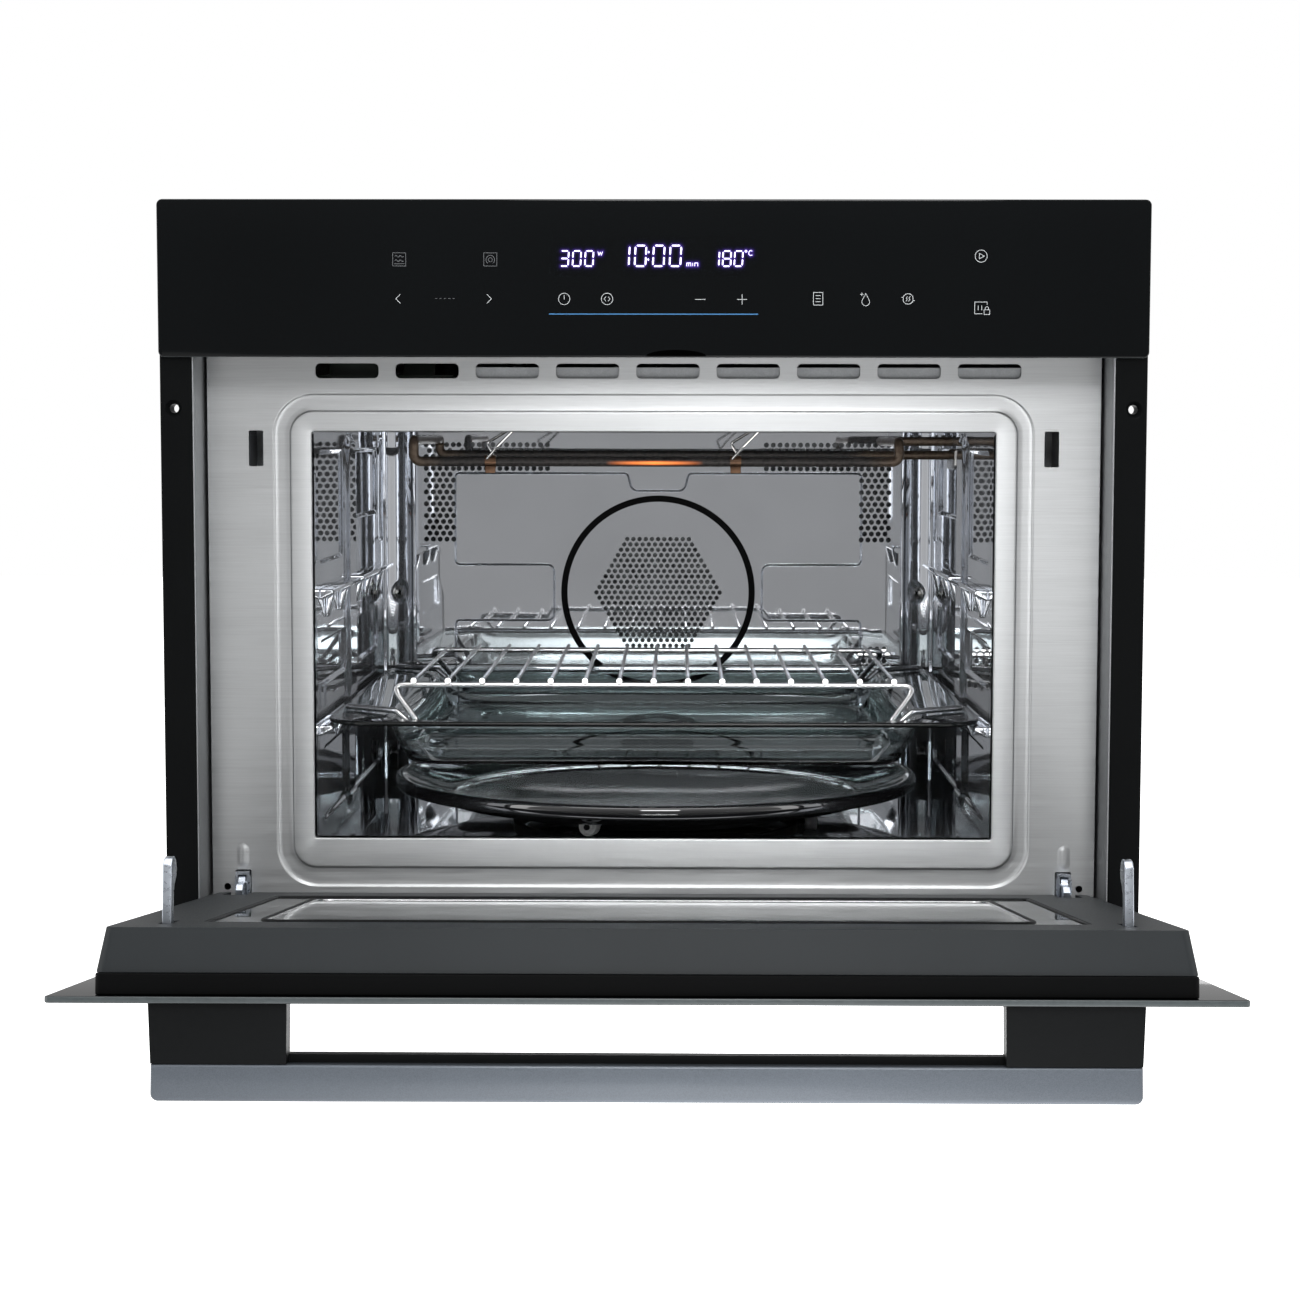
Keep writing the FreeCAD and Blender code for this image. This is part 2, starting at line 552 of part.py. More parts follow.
# ---------------------------------------------------------------- accessories
def make_tray():
    def block(hx, y0, y1, z0, z1, radius, draft):
        wires = []
        for z, inset in ((z0, draft), (z1, 0)):
            w = rounded_wire(-hx + inset, hx - inset, y0 + inset, y1 - inset, radius, 0)
            w.rotate(V(0, 0, 0), V(1, 0, 0), -90)
            w.translate(V(0, 0, z))
            wires.append(w)
        return Part.makeLoft(wires, True)
    rim = block(TRAY_HALF, TRAY_FRONT, TRAY_BACK, TRAY_TOP - 3.5, TRAY_TOP, 34, 1.0)
    basin = block(171, TRAY_FRONT + 16, TRAY_BACK - 16, 104, TRAY_TOP - 1, 26, 12)
    room = block(167.5, TRAY_FRONT + 19.5, TRAY_BACK - 19.5, 108, TRAY_TOP + 0.5, 23, 11)
    save("glass_tray", cut(fuse([rim, basin]), [room]))


def make_rack():
    top = 154.5                # centre height of the frame wires
    rest = TRAY_TOP + 2.15     # centre height of the ears that lie on the tray's rim
    low = 130.5                # lowest run of the legs, inside the tray
    front, back = 52.5, 324.5
    half = 169.0
    pieces = []
    for frame, leg, foot, shoulder, tip in ((front, 50, 56, 58, 84), (back, 342, 348, 353, 379)):
        side = [(200, tip, rest), (166, shoulder, rest), (158, foot, low), (151.5, leg, low), (half, frame, top)]
        path = [(-x, y, z) for x, y, z in side] + list(reversed(side))
        pieces.append(bent_rod(path, 3.0, 2.0))
    for i in range(15):
        x = (i - 7) * 21.97
        pieces.append(rod(1.4, (x, front - 4, top + 2.9), (0, 1, 0), back - front + 8))
    save("wire_rack", fuse(pieces))


make_housing()
make_front_plate()
make_panel()
make_cavity()
make_convection()
make_grill()
make_turntable()
make_machine_room()
make_front_hardware()
make_door()
make_tray()
make_rack()
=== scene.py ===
import json
import math

import bmesh
import bpy
import numpy as np
from mathutils import Matrix, Vector
from mathutils.geometry import delaunay_2d_cdt
from mathutils.kdtree import KDTree


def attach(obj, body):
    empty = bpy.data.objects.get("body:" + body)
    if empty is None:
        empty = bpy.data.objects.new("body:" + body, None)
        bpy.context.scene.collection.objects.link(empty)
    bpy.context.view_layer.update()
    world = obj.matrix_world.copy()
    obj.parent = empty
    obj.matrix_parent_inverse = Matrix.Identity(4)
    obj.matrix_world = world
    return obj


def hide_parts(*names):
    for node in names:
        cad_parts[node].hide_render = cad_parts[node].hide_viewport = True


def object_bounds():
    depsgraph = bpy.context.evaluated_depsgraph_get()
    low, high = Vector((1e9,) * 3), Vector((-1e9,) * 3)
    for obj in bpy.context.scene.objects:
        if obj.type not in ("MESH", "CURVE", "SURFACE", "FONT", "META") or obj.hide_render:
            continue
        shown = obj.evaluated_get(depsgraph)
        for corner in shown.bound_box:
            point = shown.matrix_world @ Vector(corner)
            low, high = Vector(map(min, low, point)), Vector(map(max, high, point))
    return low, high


# Built-in compact combination oven with its door open.
# Helpers take millimetres in the row frame and turn them into metres when a mesh is made.
MM = 0.001

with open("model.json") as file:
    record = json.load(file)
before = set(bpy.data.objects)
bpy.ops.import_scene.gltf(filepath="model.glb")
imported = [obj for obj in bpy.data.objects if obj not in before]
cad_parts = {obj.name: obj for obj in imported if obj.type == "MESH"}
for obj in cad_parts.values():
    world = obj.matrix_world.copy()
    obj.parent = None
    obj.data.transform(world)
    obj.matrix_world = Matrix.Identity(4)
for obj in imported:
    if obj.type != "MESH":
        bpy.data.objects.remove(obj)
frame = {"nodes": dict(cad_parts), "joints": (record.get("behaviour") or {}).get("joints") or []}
cad_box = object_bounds()

HINGE = next(j for j in frame["joints"] if j["name"] == "door_hinge")
HINGE_Y, HINGE_Z = (c / MM for c in HINGE["pos_m"][1:])
DOOR_OPEN = math.radians(HINGE["range_deg"][1])


# ================================================================ outlines
def rect(u0, u1, v0, v1):
    return [(u0, v0), (u1, v0), (u1, v1), (u0, v1)]


def outline(corners, radius, inset=0.0, steps=6):
    """Polygon with round corners, moved inwards by inset. The corners run anticlockwise."""
    points = []
    for i, corner in enumerate(corners):
        corner = np.array(corner, float)
        before = corner - corners[i - 1]
        after = np.array(corners[(i + 1) % len(corners)], float) - corner
        before /= np.linalg.norm(before)
        after /= np.linalg.norm(after)
        inward_before = np.array((-before[1], before[0]))
        inward_after = np.array((-after[1], after[0]))
        turn = math.atan2(before[0] * after[1] - before[1] * after[0], before @ after)
        side = 1 if turn > 0 else -1
        moved = corner + inset * (inward_before + inward_after) / (1 + inward_before @ inward_after)
        wanted = radius[i] if isinstance(radius, (list, tuple)) else radius
        bend = max(wanted - side * inset, 0.02)
        start = moved - before * bend * math.tan(abs(turn) / 2)
        centre = start + inward_before * bend * side
        first = math.atan2(*(start - centre)[::-1])
        for k in range(steps + 1):
            angle = first + turn * k / steps
            points.append(tuple(centre + bend * np.array((math.cos(angle), math.sin(angle)))))
    return points


def circle(u, v, radius, steps=12):
    turns = [math.tau * k / steps for k in range(steps)]
    return [(u + radius * math.cos(a), v + radius * math.sin(a)) for a in turns]


def front(u, v, w):
    return (u, w, v)


def swing(point):
    """A point of the closed door, where it lies with the door open."""
    x, y, z = point
    dy, dz = y - HINGE_Y, z - HINGE_Z
    c, s = math.cos(DOOR_OPEN), math.sin(DOOR_OPEN)
    return (x, HINGE_Y + dy * c - dz * s, HINGE_Z + dy * s + dz * c)


def door_front(u, v, w):
    return swing(front(u, v, w))


def door_plan(u, v, w):
    return swing((u, v, w))


# ================================================================ shapes: each returns (points, faces)
def join(*shapes):
    points, faces = [], []
    for more_points, more_faces in shapes:
        shift = len(points)
        points += list(more_points)
        faces += [tuple(i + shift for i in face) for face in more_faces]
    return points, faces


def skin(rings, closed=False):
    """Surface through rings that have the same number of points, capped unless it closes on itself."""
    n = len(rings[0])
    points = [p for ring in rings for p in ring]
    steps = len(rings) if closed else len(rings) - 1
    faces = []
    for a in range(steps):
        b = (a + 1) % len(rings)
        faces += [(a * n + i, a * n + (i + 1) % n, b * n + (i + 1) % n, b * n + i) for i in range(n)]
    if not closed:
        faces.append(tuple(reversed(range(n))))
        faces.append(tuple(range((len(rings) - 1) * n, len(rings) * n)))
    return points, faces


def slab(corners, radius, low, high, edge, place, steps=6):
    """Plate with a round-cornered outline and rounded rims."""
    rings = []
    for k in range(5):
        angle = math.pi / 2 * k / 4
        inset, rise = edge * (1 - math.sin(angle)), edge * (1 - math.cos(angle))
        rings.append([place(u, v, low + rise) for u, v in outline(corners, radius, inset, steps)])
    for k in range(5):
        angle = math.pi / 2 * k / 4
        inset, rise = edge * (1 - math.cos(angle)), edge * (1 - math.sin(angle))
        rings.append([place(u, v, high - rise) for u, v in outline(corners, radius, inset, steps)])
    return skin(rings)


def ring_lathe(profile, centre, axis, steps=40):
    """Profile of (radius, height) pairs turned about an axis, with a hole along it."""
    axis = Vector(axis).normalized()
    one = axis.orthogonal().normalized()
    two = axis.cross(one)
    rings = []
    for k in range(steps):
        angle = math.tau * k / steps
        out = one * math.cos(angle) + two * math.sin(angle)
        rings.append([tuple(Vector(centre) + axis * height + out * radius) for radius, height in profile])
    return skin(rings, closed=True)


def lathe(profile, centre, axis, steps=96):
    """Profile of (radius, height) pairs turned about an axis through centre."""
    axis = Vector(axis).normalized()
    across = axis.orthogonal().normalized()
    third = axis.cross(across)
    rings = []
    for radius, height in profile:
        radius = max(radius, 0.001)
        spots = [math.tau * k / steps for k in range(steps)]
        base = Vector(centre) + axis * height
        rings.append([tuple(base + radius * (across * math.cos(a) + third * math.sin(a))) for a in spots])
    return skin(rings)


def bend(points, radius, steps=6):
    """Polyline whose inner corners are bent to a radius."""
    points = [Vector(p) for p in points]
    path = [points[0]]
    for before, corner, after in zip(points, points[1:], points[2:]):
        inward = (before - corner).normalized()
        onward = (after - corner).normalized()
        half = inward.angle(onward) / 2
        run = min(radius / math.tan(half), 0.48 * (before - corner).length, 0.48 * (after - corner).length)
        start, end = corner + inward * run, corner + onward * run
        for k in range(steps + 1):
            t = k / steps
            path.append(start * (1 - t) ** 2 + corner * 2 * t * (1 - t) + end * t ** 2)
    return path + [points[-1]]


def tube(path, radius, steps):
    """Round wire along a path, with domed ends."""
    path = [Vector(p) for p in path]
    heading = (path[1] - path[0]).normalized()
    across = heading.orthogonal().normalized()
    rings = []

    def ring(centre, size):
        third = heading.cross(across)
        turns = [math.tau * k / steps for k in range(steps)]
        rings.append([tuple(centre + size * (across * math.cos(a) + third * math.sin(a))) for a in turns])

    ring(path[0] - heading * radius * 0.9, radius * 0.35)
    ring(path[0] - heading * radius * 0.55, radius * 0.82)
    for i, spot in enumerate(path):
        nearby = path[min(i + 1, len(path) - 1)] - path[max(i - 1, 0)]
        turned = nearby.normalized()
        across = (across - turned * across.dot(turned)).normalized()
        heading = turned
        ring(spot, radius)
    ring(path[-1] + heading * radius * 0.55, radius * 0.82)
    ring(path[-1] + heading * radius * 0.9, radius * 0.35)
    return skin(rings)


def ribbon(path, width, place, depth, closed=False):
    """Flat printed line along a path of (u, v) points."""
    path = [Vector(p) for p in path]
    count = len(path)
    points = []
    for i, spot in enumerate(path):
        before = path[i - 1] if i or closed else spot
        after = path[(i + 1) % count] if i < count - 1 or closed else spot
        one = (spot - before).normalized() if (spot - before).length else None
        two = (after - spot).normalized() if (after - spot).length else None
        one, two = one or two, two or one
        side = Vector((-(one + two).y, (one + two).x)).normalized()
        side *= width / 2 / max(side.dot(Vector((-one.y, one.x))), 0.4)
        points += [place(*(spot + side), depth), place(*(spot - side), depth)]
    last = count if closed else count - 1
    faces = [(2 * i, 2 * i + 1, (2 * i + 3) % (2 * count), (2 * i + 2) % (2 * count)) for i in range(last)]
    return points, faces


# ================================================================ pressed sheets
def signed_distance(points, loop):
    """Distance of points from a closed loop, negative inside it."""
    start = np.array(loop, float)
    end = np.roll(start, -1, axis=0)
    along = end - start
    offset = points[:, None, :] - start[None]
    share = (offset * along[None]).sum(2) / np.maximum((along ** 2).sum(1), 1e-12)[None]
    share = np.clip(share, 0, 1)
    distance = np.linalg.norm(offset - share[..., None] * along[None], axis=2).min(1)
    above = start[None, :, 1] > points[:, None, 1]
    crossing = above != (end[None, :, 1] > points[:, None, 1])
    slope = along[None, :, 0] * (points[:, None, 1] - start[None, :, 1])
    rise = np.where(np.abs(along[:, 1]) < 1e-12, 1e-12, along[:, 1])[None]
    inside = (crossing & (points[:, None, 0] < start[None, :, 0] + slope / rise)).sum(1) % 2 == 1
    return np.where(inside, -distance, distance)


def pressing(shape, depth, width):
    """A shape pressed out of a sheet towards the viewer. shape(inset) gives its outline."""
    return {"shape": shape, "depth": depth, "width": width}


def relief_height(points, pressings):
    height = np.zeros(len(points))
    for item in pressings:
        inside = -signed_distance(points, item["shape"](0))
        share = np.clip(inside / (0.94 * item["width"]), 0, 1)
        height += item["depth"] * share ** 2 * (3 - 2 * share)
    return height


def sheet(border, slots, rounds, pressings, thickness):
    """Sheet with holes and pressed shapes. Returns local points, faces and corner normals.

    slots are loops, rounds are (u, v, radius, steps) holes. The viewer is on the side of negative w.
    """
    loops = [border] + slots + [circle(*r) for r in rounds]
    for item in pressings:
        loops += [item["shape"](item["width"] * k / 5) for k in range(6)]
    coords, edges = [], []
    for loop in loops:
        first = len(coords)
        coords += [Vector(p) for p in loop]
        edges += [(first + i, first + (i + 1) % len(loop)) for i in range(len(loop))]
    flat, _, faces, _, _, _ = delaunay_2d_cdt(coords, edges, [], 0, 1e-5)
    flat = np.array([tuple(p) for p in flat], float)
    faces = np.array([tuple(f) for f in faces], int)
    middle = flat[faces].mean(axis=1)
    keep = signed_distance(middle, border) < 0
    for slot in slots:
        keep &= signed_distance(middle, slot) > 0
    if rounds:
        tree = KDTree(len(rounds))
        for i, r in enumerate(rounds):
            tree.insert((r[0], r[1], 0), i)
        tree.balance()
        for i, spot in enumerate(middle):
            if keep[i]:
                _, nearest, away = tree.find((spot[0], spot[1], 0))
                keep[i] = away > rounds[nearest][2] * 0.999
    faces = faces[keep]
    step = 0.02
    height = relief_height(flat, pressings)
    rises = []
    for move in ((step, 0), (0, step)):
        ahead, behind = relief_height(flat + move, pressings), relief_height(flat - move, pressings)
        rises.append((ahead - behind) / 2 / step)
    normals = np.column_stack([-rises[0], -rises[1], -np.ones(len(flat))])
    normals /= np.linalg.norm(normals, axis=1)[:, None]
    turned = np.cross(flat[faces[:, 1]] - flat[faces[:, 0]], flat[faces[:, 2]] - flat[faces[:, 0]]) < 0
    faces[turned] = faces[turned][:, ::-1]
    count = len(flat)
    points = [(u, v, -h) for (u, v), h in zip(flat, height)]
    points += [(u, v, -h + thickness) for (u, v), h in zip(flat, height)]
    sides = dict.fromkeys(pair for a, b, c in faces for pair in ((a, b), (b, c), (c, a)))
    polygons = [tuple(f[::-1]) for f in faces]
    corner_normals = [tuple(normals[i]) for f in faces for i in f[::-1]]
    polygons += [tuple(f + count) for f in faces]
    corner_normals += [tuple(-normals[i]) for f in faces for i in f]
    for a, b in sides:
        if (b, a) not in sides:
            polygons.append((a, b, b + count, a + count))
            out = np.array((flat[b][1] - flat[a][1], flat[a][0] - flat[b][0], 0.0))
            corner_normals += [tuple(out / max(np.linalg.norm(out), 1e-9))] * 4
    return points, polygons, corner_normals


# ================================================================ objects
def add(name, shape, finish, body, replaces=(), angle=35, closed=True):
    """A visible piece from a shape in millimetres."""
    mesh = bpy.data.meshes.new(name)
    mesh.from_pydata([tuple(c * MM for c in p) for p in shape[0]], [], shape[1])
    if closed:
        work = bmesh.new()
        work.from_mesh(mesh)
        bmesh.ops.recalc_face_normals(work, faces=work.faces)
        work.to_mesh(mesh)
        work.free()
    mesh.materials.append(finish)
    mesh.shade_smooth()
    mesh.set_sharp_from_angle(angle=math.radians(angle))
    return settle(name, mesh, body, replaces)


def settle(name, mesh, body, replaces):
    piece = bpy.data.objects.new(name, mesh)
    bpy.context.scene.collection.objects.link(piece)
    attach(piece, body)
    if replaces:
        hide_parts(*replaces)
    return piece


def add_sheets(name, sheets, finish, body, replaces=()):
    """A piece made of pressed sheets, each given with the function that places its local points."""
    points, polygons, normals = [], [], []
    for (local, faces, corner_normals), place in sheets:
        shift = len(points)
        origin = np.array(place(0, 0, 0), float)
        columns = [np.array(place(*unit), float) - origin for unit in ((1, 0, 0), (0, 1, 0), (0, 0, 1))]
        turn = np.column_stack(columns)
        points += [tuple(turn @ p + origin) for p in np.array(local)]
        placed = np.array(corner_normals) @ turn.T
        spot = 0
        for face in faces:
            ring = [i + shift for i in face]
            own = [tuple(n) for n in placed[spot:spot + len(face)]]
            spot += len(face)
            if np.linalg.det(turn) < 0:
                ring, own = ring[::-1], own[::-1]
            polygons.append(ring)
            normals += own
    mesh = bpy.data.meshes.new(name)
    mesh.from_pydata([tuple(c * MM for c in p) for p in points], [], polygons)
    mesh.materials.append(finish)
    mesh.shade_smooth()
    mesh.normals_split_custom_set(normals)
    return settle(name, mesh, body, replaces)


def soften(node, width, segments=3, angle=30):
    """Rounds the sharp edges of a CAD node with modifiers; its own mesh stays as it is."""
    thing = frame["nodes"][node]
    weld = thing.modifiers.new("weld", "WELD")
    weld.merge_threshold = 0.00001
    flat = thing.modifiers.new("flat", "DECIMATE")
    flat.decimate_type = "DISSOLVE"
    flat.angle_limit = math.radians(0.5)
    edge = thing.modifiers.new("edge", "BEVEL")
    edge.width = width * MM
    edge.segments = segments
    edge.limit_method = "ANGLE"
    edge.angle_limit = math.radians(angle)
    edge.harden_normals = True
    custom = thing.data.attributes.get("custom_normal")
    if custom:
        thing.data.attributes.remove(custom)
    thing.data.shade_smooth()


def paint(finish, *nodes):
    for node in nodes:
        thing = frame["nodes"][node]
        thing.data.materials.clear()
        thing.data.materials.append(finish)


# ================================================================ materials
class Finish:
    """A node material with a Principled shader and short ways to drive its sockets."""

    def __init__(self, name, **sockets):
        self.material = bpy.data.materials.new(name)
        self.material.use_nodes = True
        self.tree = self.material.node_tree
        self.shader = self.tree.nodes["Principled BSDF"]
        for key, value in sockets.items():
            self.shader.inputs[key.replace("_", " ")].default_value = value
        self.where = self.node("ShaderNodeTexCoord").outputs["Object"]

    def node(self, kind, **settings):
        made = self.tree.nodes.new(kind)
        for key, value in settings.items():
            setattr(made, key, value)
        return made

    def link(self, source, target):
        self.tree.links.new(source, target)

    def noise(self, scale, detail=3.0, stretch=(1, 1, 1)):
        """Noise with a scale per metre, stretched along an axis by a smaller factor."""
        mapping = self.node("ShaderNodeMapping")
        mapping.inputs["Scale"].default_value = [scale * s for s in stretch]
        self.link(self.where, mapping.inputs["Vector"])
        texture = self.node("ShaderNodeTexNoise")
        texture.inputs["Scale"].default_value = 1.0
        texture.inputs["Detail"].default_value = detail
        self.link(mapping.outputs["Vector"], texture.inputs["Vector"])
        return texture.outputs["Fac"]

    def cells(self, scale):
        texture = self.node("ShaderNodeTexVoronoi")
        texture.inputs["Scale"].default_value = scale
        self.link(self.where, texture.inputs["Vector"])
        apart = self.node("ShaderNodeSeparateColor")
        self.link(texture.outputs["Color"], apart.inputs["Color"])
        return apart.outputs["Red"]

    def spread(self, source, low, high, start=0.3, end=0.7):
        ramp = self.node("ShaderNodeMapRange")
        for key, value in (("From Min", start), ("From Max", end), ("To Min", low), ("To Max", high)):
            ramp.inputs[key].default_value = value
        self.link(source, ramp.inputs["Value"])
        return ramp.outputs["Result"]

    def maths(self, operation, first, second=0.0):
        made = self.node("ShaderNodeMath", operation=operation)
        for value, socket in ((first, made.inputs[0]), (second, made.inputs[1])):
            if isinstance(value, (int, float)):
                socket.default_value = value
            else:
                self.link(value, socket)
        return made.outputs["Value"]

    def axis(self, name):
        apart = self.node("ShaderNodeSeparateXYZ")
        self.link(self.where, apart.inputs["Vector"])
        return apart.outputs[name]

    def mix(self, factor, first, second):
        made = self.node("ShaderNodeMix", data_type="RGBA")
        self.link(factor, made.inputs["Factor"])
        colours = [s for s in made.inputs if s.type == "RGBA"]
        for value, socket in zip((first, second), colours):
            if isinstance(value, (tuple, list)):
                socket.default_value = (*value[:3], 1.0)
            else:
                self.link(value, socket)
        return [s for s in made.outputs if s.type == "RGBA"][0]

    def colour(self, source):
        self.link(source, self.shader.inputs["Base Color"])

    def rough(self, source):
        self.link(source, self.shader.inputs["Roughness"])

    def bump(self, source, distance, strength=1.0):
        bump = self.node("ShaderNodeBump")
        bump.inputs["Distance"].default_value = distance * MM
        bump.inputs["Strength"].default_value = strength
        self.link(source, bump.inputs["Height"])
        before = self.shader.inputs["Normal"].links
        if before:
            self.link(before[0].from_socket, bump.inputs["Normal"])
        self.link(bump.outputs["Normal"], self.shader.inputs["Normal"])


def shade(colour, factor):
    return tuple(c * factor for c in colour)


def brushed_metal(name, colour, roughness):
    """Metal with fine parallel brush marks; its highlights are drawn out across them."""
    finish = Finish(name, Metallic=1.0, Anisotropic=0.75)
    upright = finish.node("ShaderNodeCombineXYZ")
    upright.inputs["Z"].default_value = 1.0
    finish.link(upright.outputs["Vector"], finish.shader.inputs["Tangent"])
    fine = finish.noise(1400, 2, (0.02, 0.02, 1))
    coarse = finish.noise(260, 3, (0.02, 0.02, 1))
    cloud = finish.noise(6, 3)
    marks = finish.maths("ADD", finish.maths("MULTIPLY", fine, 0.6), finish.maths("MULTIPLY", coarse, 0.4))
    light = finish.mix(finish.spread(marks, 0, 1), shade(colour, 0.88), shade(colour, 1.06))
    finish.colour(finish.mix(finish.spread(cloud, 0, 0.35), light, shade(colour, 0.8)))
    finish.rough(finish.spread(marks, roughness * 0.8, roughness * 1.25))
    finish.bump(marks, 0.02, 0.5)
    return finish.material


def polished_metal(name, colour, roughness, waves=0.35):
    """Bright rolled sheet: it mirrors, with slow waves in it."""
    finish = Finish(name, Metallic=0.93)
    cloud = finish.noise(9, 4)
    finish.colour(finish.mix(finish.spread(cloud, 0, 1), shade(colour, 0.9), colour))
    finish.rough(finish.spread(finish.noise(30, 4), roughness * 0.6, roughness * 1.6))
    finish.bump(finish.noise(9, 1), waves)
    return finish.material


def galvanised_metal(name, colour):
    """Zinc-coated sheet with its spangle."""
    finish = Finish(name, Metallic=0.9)
    flakes = finish.cells(240)
    grain = finish.noise(900, 2)
    base = finish.mix(flakes, shade(colour, 0.9), shade(colour, 1.04))
    finish.colour(finish.mix(finish.spread(grain, 0, 0.3), base, shade(colour, 0.65)))
    finish.rough(finish.spread(flakes, 0.4, 0.5, 0, 1))
    finish.bump(grain, 0.02, 0.4)
    return finish.material


def plain_metal(name, colour, roughness, grain_scale=500, tint=None):
    finish = Finish(name, Metallic=1.0)
    grain = finish.noise(grain_scale, 3)
    slow = finish.noise(35, 3)
    base = finish.mix(finish.spread(slow, 0, 1), colour, tint or shade(colour, 0.8))
    finish.colour(finish.mix(finish.spread(grain, 0, 0.3), base, shade(colour, 0.7)))
    finish.rough(finish.spread(grain, roughness * 0.8, roughness * 1.25))
    finish.bump(grain, 0.01, 0.3)
    return finish.material


def moulded_plastic(name, colour, roughness, grain=0.03, scale=1500, shine=0.5):
    """Plastic with an eroded fine grain."""
    finish = Finish(name, Specular_IOR_Level=shine)
    fine = finish.noise(scale, 2)
    slow = finish.noise(25, 3)
    base = finish.mix(finish.spread(slow, 0, 1), shade(colour, 0.92), shade(colour, 1.08))
    finish.colour(finish.mix(finish.spread(fine, 0, 0.5), base, shade(colour, 1.35)))
    finish.rough(finish.spread(fine, roughness * 0.9, roughness * 1.12))
    finish.bump(fine, grain, 0.6)
    return finish.material


def black_glass(name):
    """Glass printed black on its back: a deep colour under a clear, even surface."""
    finish = Finish(name, IOR=1.27)
    slow = finish.noise(5, 2)
    finish.colour(finish.mix(finish.spread(slow, 0, 1), (0.001, 0.0014, 0.0017), (0.0016, 0.0021, 0.0025)))
    finish.rough(finish.spread(finish.noise(60, 3), 0.025, 0.05))
    return finish.material


def clear_glass(name, colour, roughness=0.0):
    finish = Finish(name, Transmission_Weight=1.0, IOR=1.5)
    slow = finish.noise(8, 2)
    finish.colour(finish.mix(finish.spread(slow, 0, 1), colour, shade(colour, 0.94)))
    finish.rough(finish.spread(finish.noise(70, 3), roughness, roughness + 0.03))
    finish.bump(finish.noise(25, 1), 0.08)
    return finish.material


def gloss_enamel(name, colour):
    finish = Finish(name, IOR=1.75)
    slow = finish.noise(20, 3)
    finish.colour(finish.mix(finish.spread(slow, 0, 1), shade(colour, 0.8), shade(colour, 1.3)))
    finish.rough(finish.spread(finish.noise(140, 3), 0.03, 0.07))
    finish.bump(finish.noise(14, 2), 0.12, 0.5)
    return finish.material


def satin_lacquer(name, colour):
    """Metallic lacquer with fine flakes."""
    finish = Finish(name, Metallic=0.55)
    flakes = finish.cells(2600)
    slow = finish.noise(14, 3)
    base = finish.mix(finish.spread(slow, 0, 1), shade(colour, 0.96), shade(colour, 1.05))
    finish.colour(finish.mix(finish.spread(flakes, 0, 0.55, 0, 1), base, shade(colour, 1.5)))
    finish.rough(finish.spread(flakes, 0.36, 0.5, 0, 1))
    finish.bump(finish.noise(1800, 2), 0.01, 0.4)
    finish.shader.inputs["Coat Weight"].default_value = 0.3
    finish.shader.inputs["Coat Roughness"].default_value = 0.12
    return finish.material


def heater_sheath(name):
    """Oxidised sheath, brown at its bends, with a faint glow in the middle of the front leg."""
    finish = Finish(name, Metallic=0.75)
    reach = finish.maths("ABSOLUTE", finish.axis("X"))
    bends = finish.spread(reach, 0, 1, 0.138, 0.158)
    grain = finish.noise(400, 4)
    dark = finish.mix(finish.spread(grain, 0, 1), (0.014, 0.013, 0.013), (0.04, 0.036, 0.034))
    brown = finish.mix(finish.spread(grain, 0, 1), (0.05, 0.034, 0.024), (0.1, 0.076, 0.056))
    finish.colour(finish.mix(bends, dark, brown))
    finish.rough(finish.spread(grain, 0.3, 0.55))
    finish.bump(grain, 0.03, 0.5)
    close = finish.spread(finish.axis("Y"), 1, 0, 0.102, 0.11)
    middle = finish.spread(reach, 1, 0, 0.0, 0.032)
    height = finish.maths("ABSOLUTE", finish.maths("SUBTRACT", finish.axis("Z"), 0.2962))
    band = finish.spread(height, 1, 0, 0.0, 0.0016)
    glow = finish.maths("MULTIPLY", finish.maths("MULTIPLY", close, middle), band)
    finish.link(finish.maths("MULTIPLY", glow, 2.2), finish.shader.inputs["Emission Strength"])
    finish.shader.inputs["Emission Color"].default_value = (1.0, 0.24, 0.04, 1.0)
    return finish.material


def light_print(name, colour, strength):
    """Lit or white print on the control glass."""
    finish = Finish(name, Roughness=0.5)
    slow = finish.noise(400, 2)
    finish.colour(finish.mix(finish.spread(slow, 0, 1), shade(colour, 0.9), colour))
    finish.shader.inputs["Emission Color"].default_value = (*colour, 1.0)
    finish.link(finish.spread(slow, strength * 0.85, strength), finish.shader.inputs["Emission Strength"])
    return finish.material


def halo(name, colour, strength):
    """Glow round the lit digits: a soft veil whose weight is stored on the mesh."""
    finish = Finish(name, Roughness=0.6)
    weight = finish.node("ShaderNodeAttribute", attribute_name="glow").outputs["Fac"]
    finish.shader.inputs["Base Color"].default_value = (0.0, 0.0, 0.0, 1.0)
    finish.shader.inputs["Emission Color"].default_value = (*colour, 1.0)
    finish.shader.inputs["Specular IOR Level"].default_value = 0.0
    finish.link(finish.maths("MULTIPLY", weight, strength), finish.shader.inputs["Emission Strength"])
    finish.link(weight, finish.shader.inputs["Alpha"])
    return finish.material


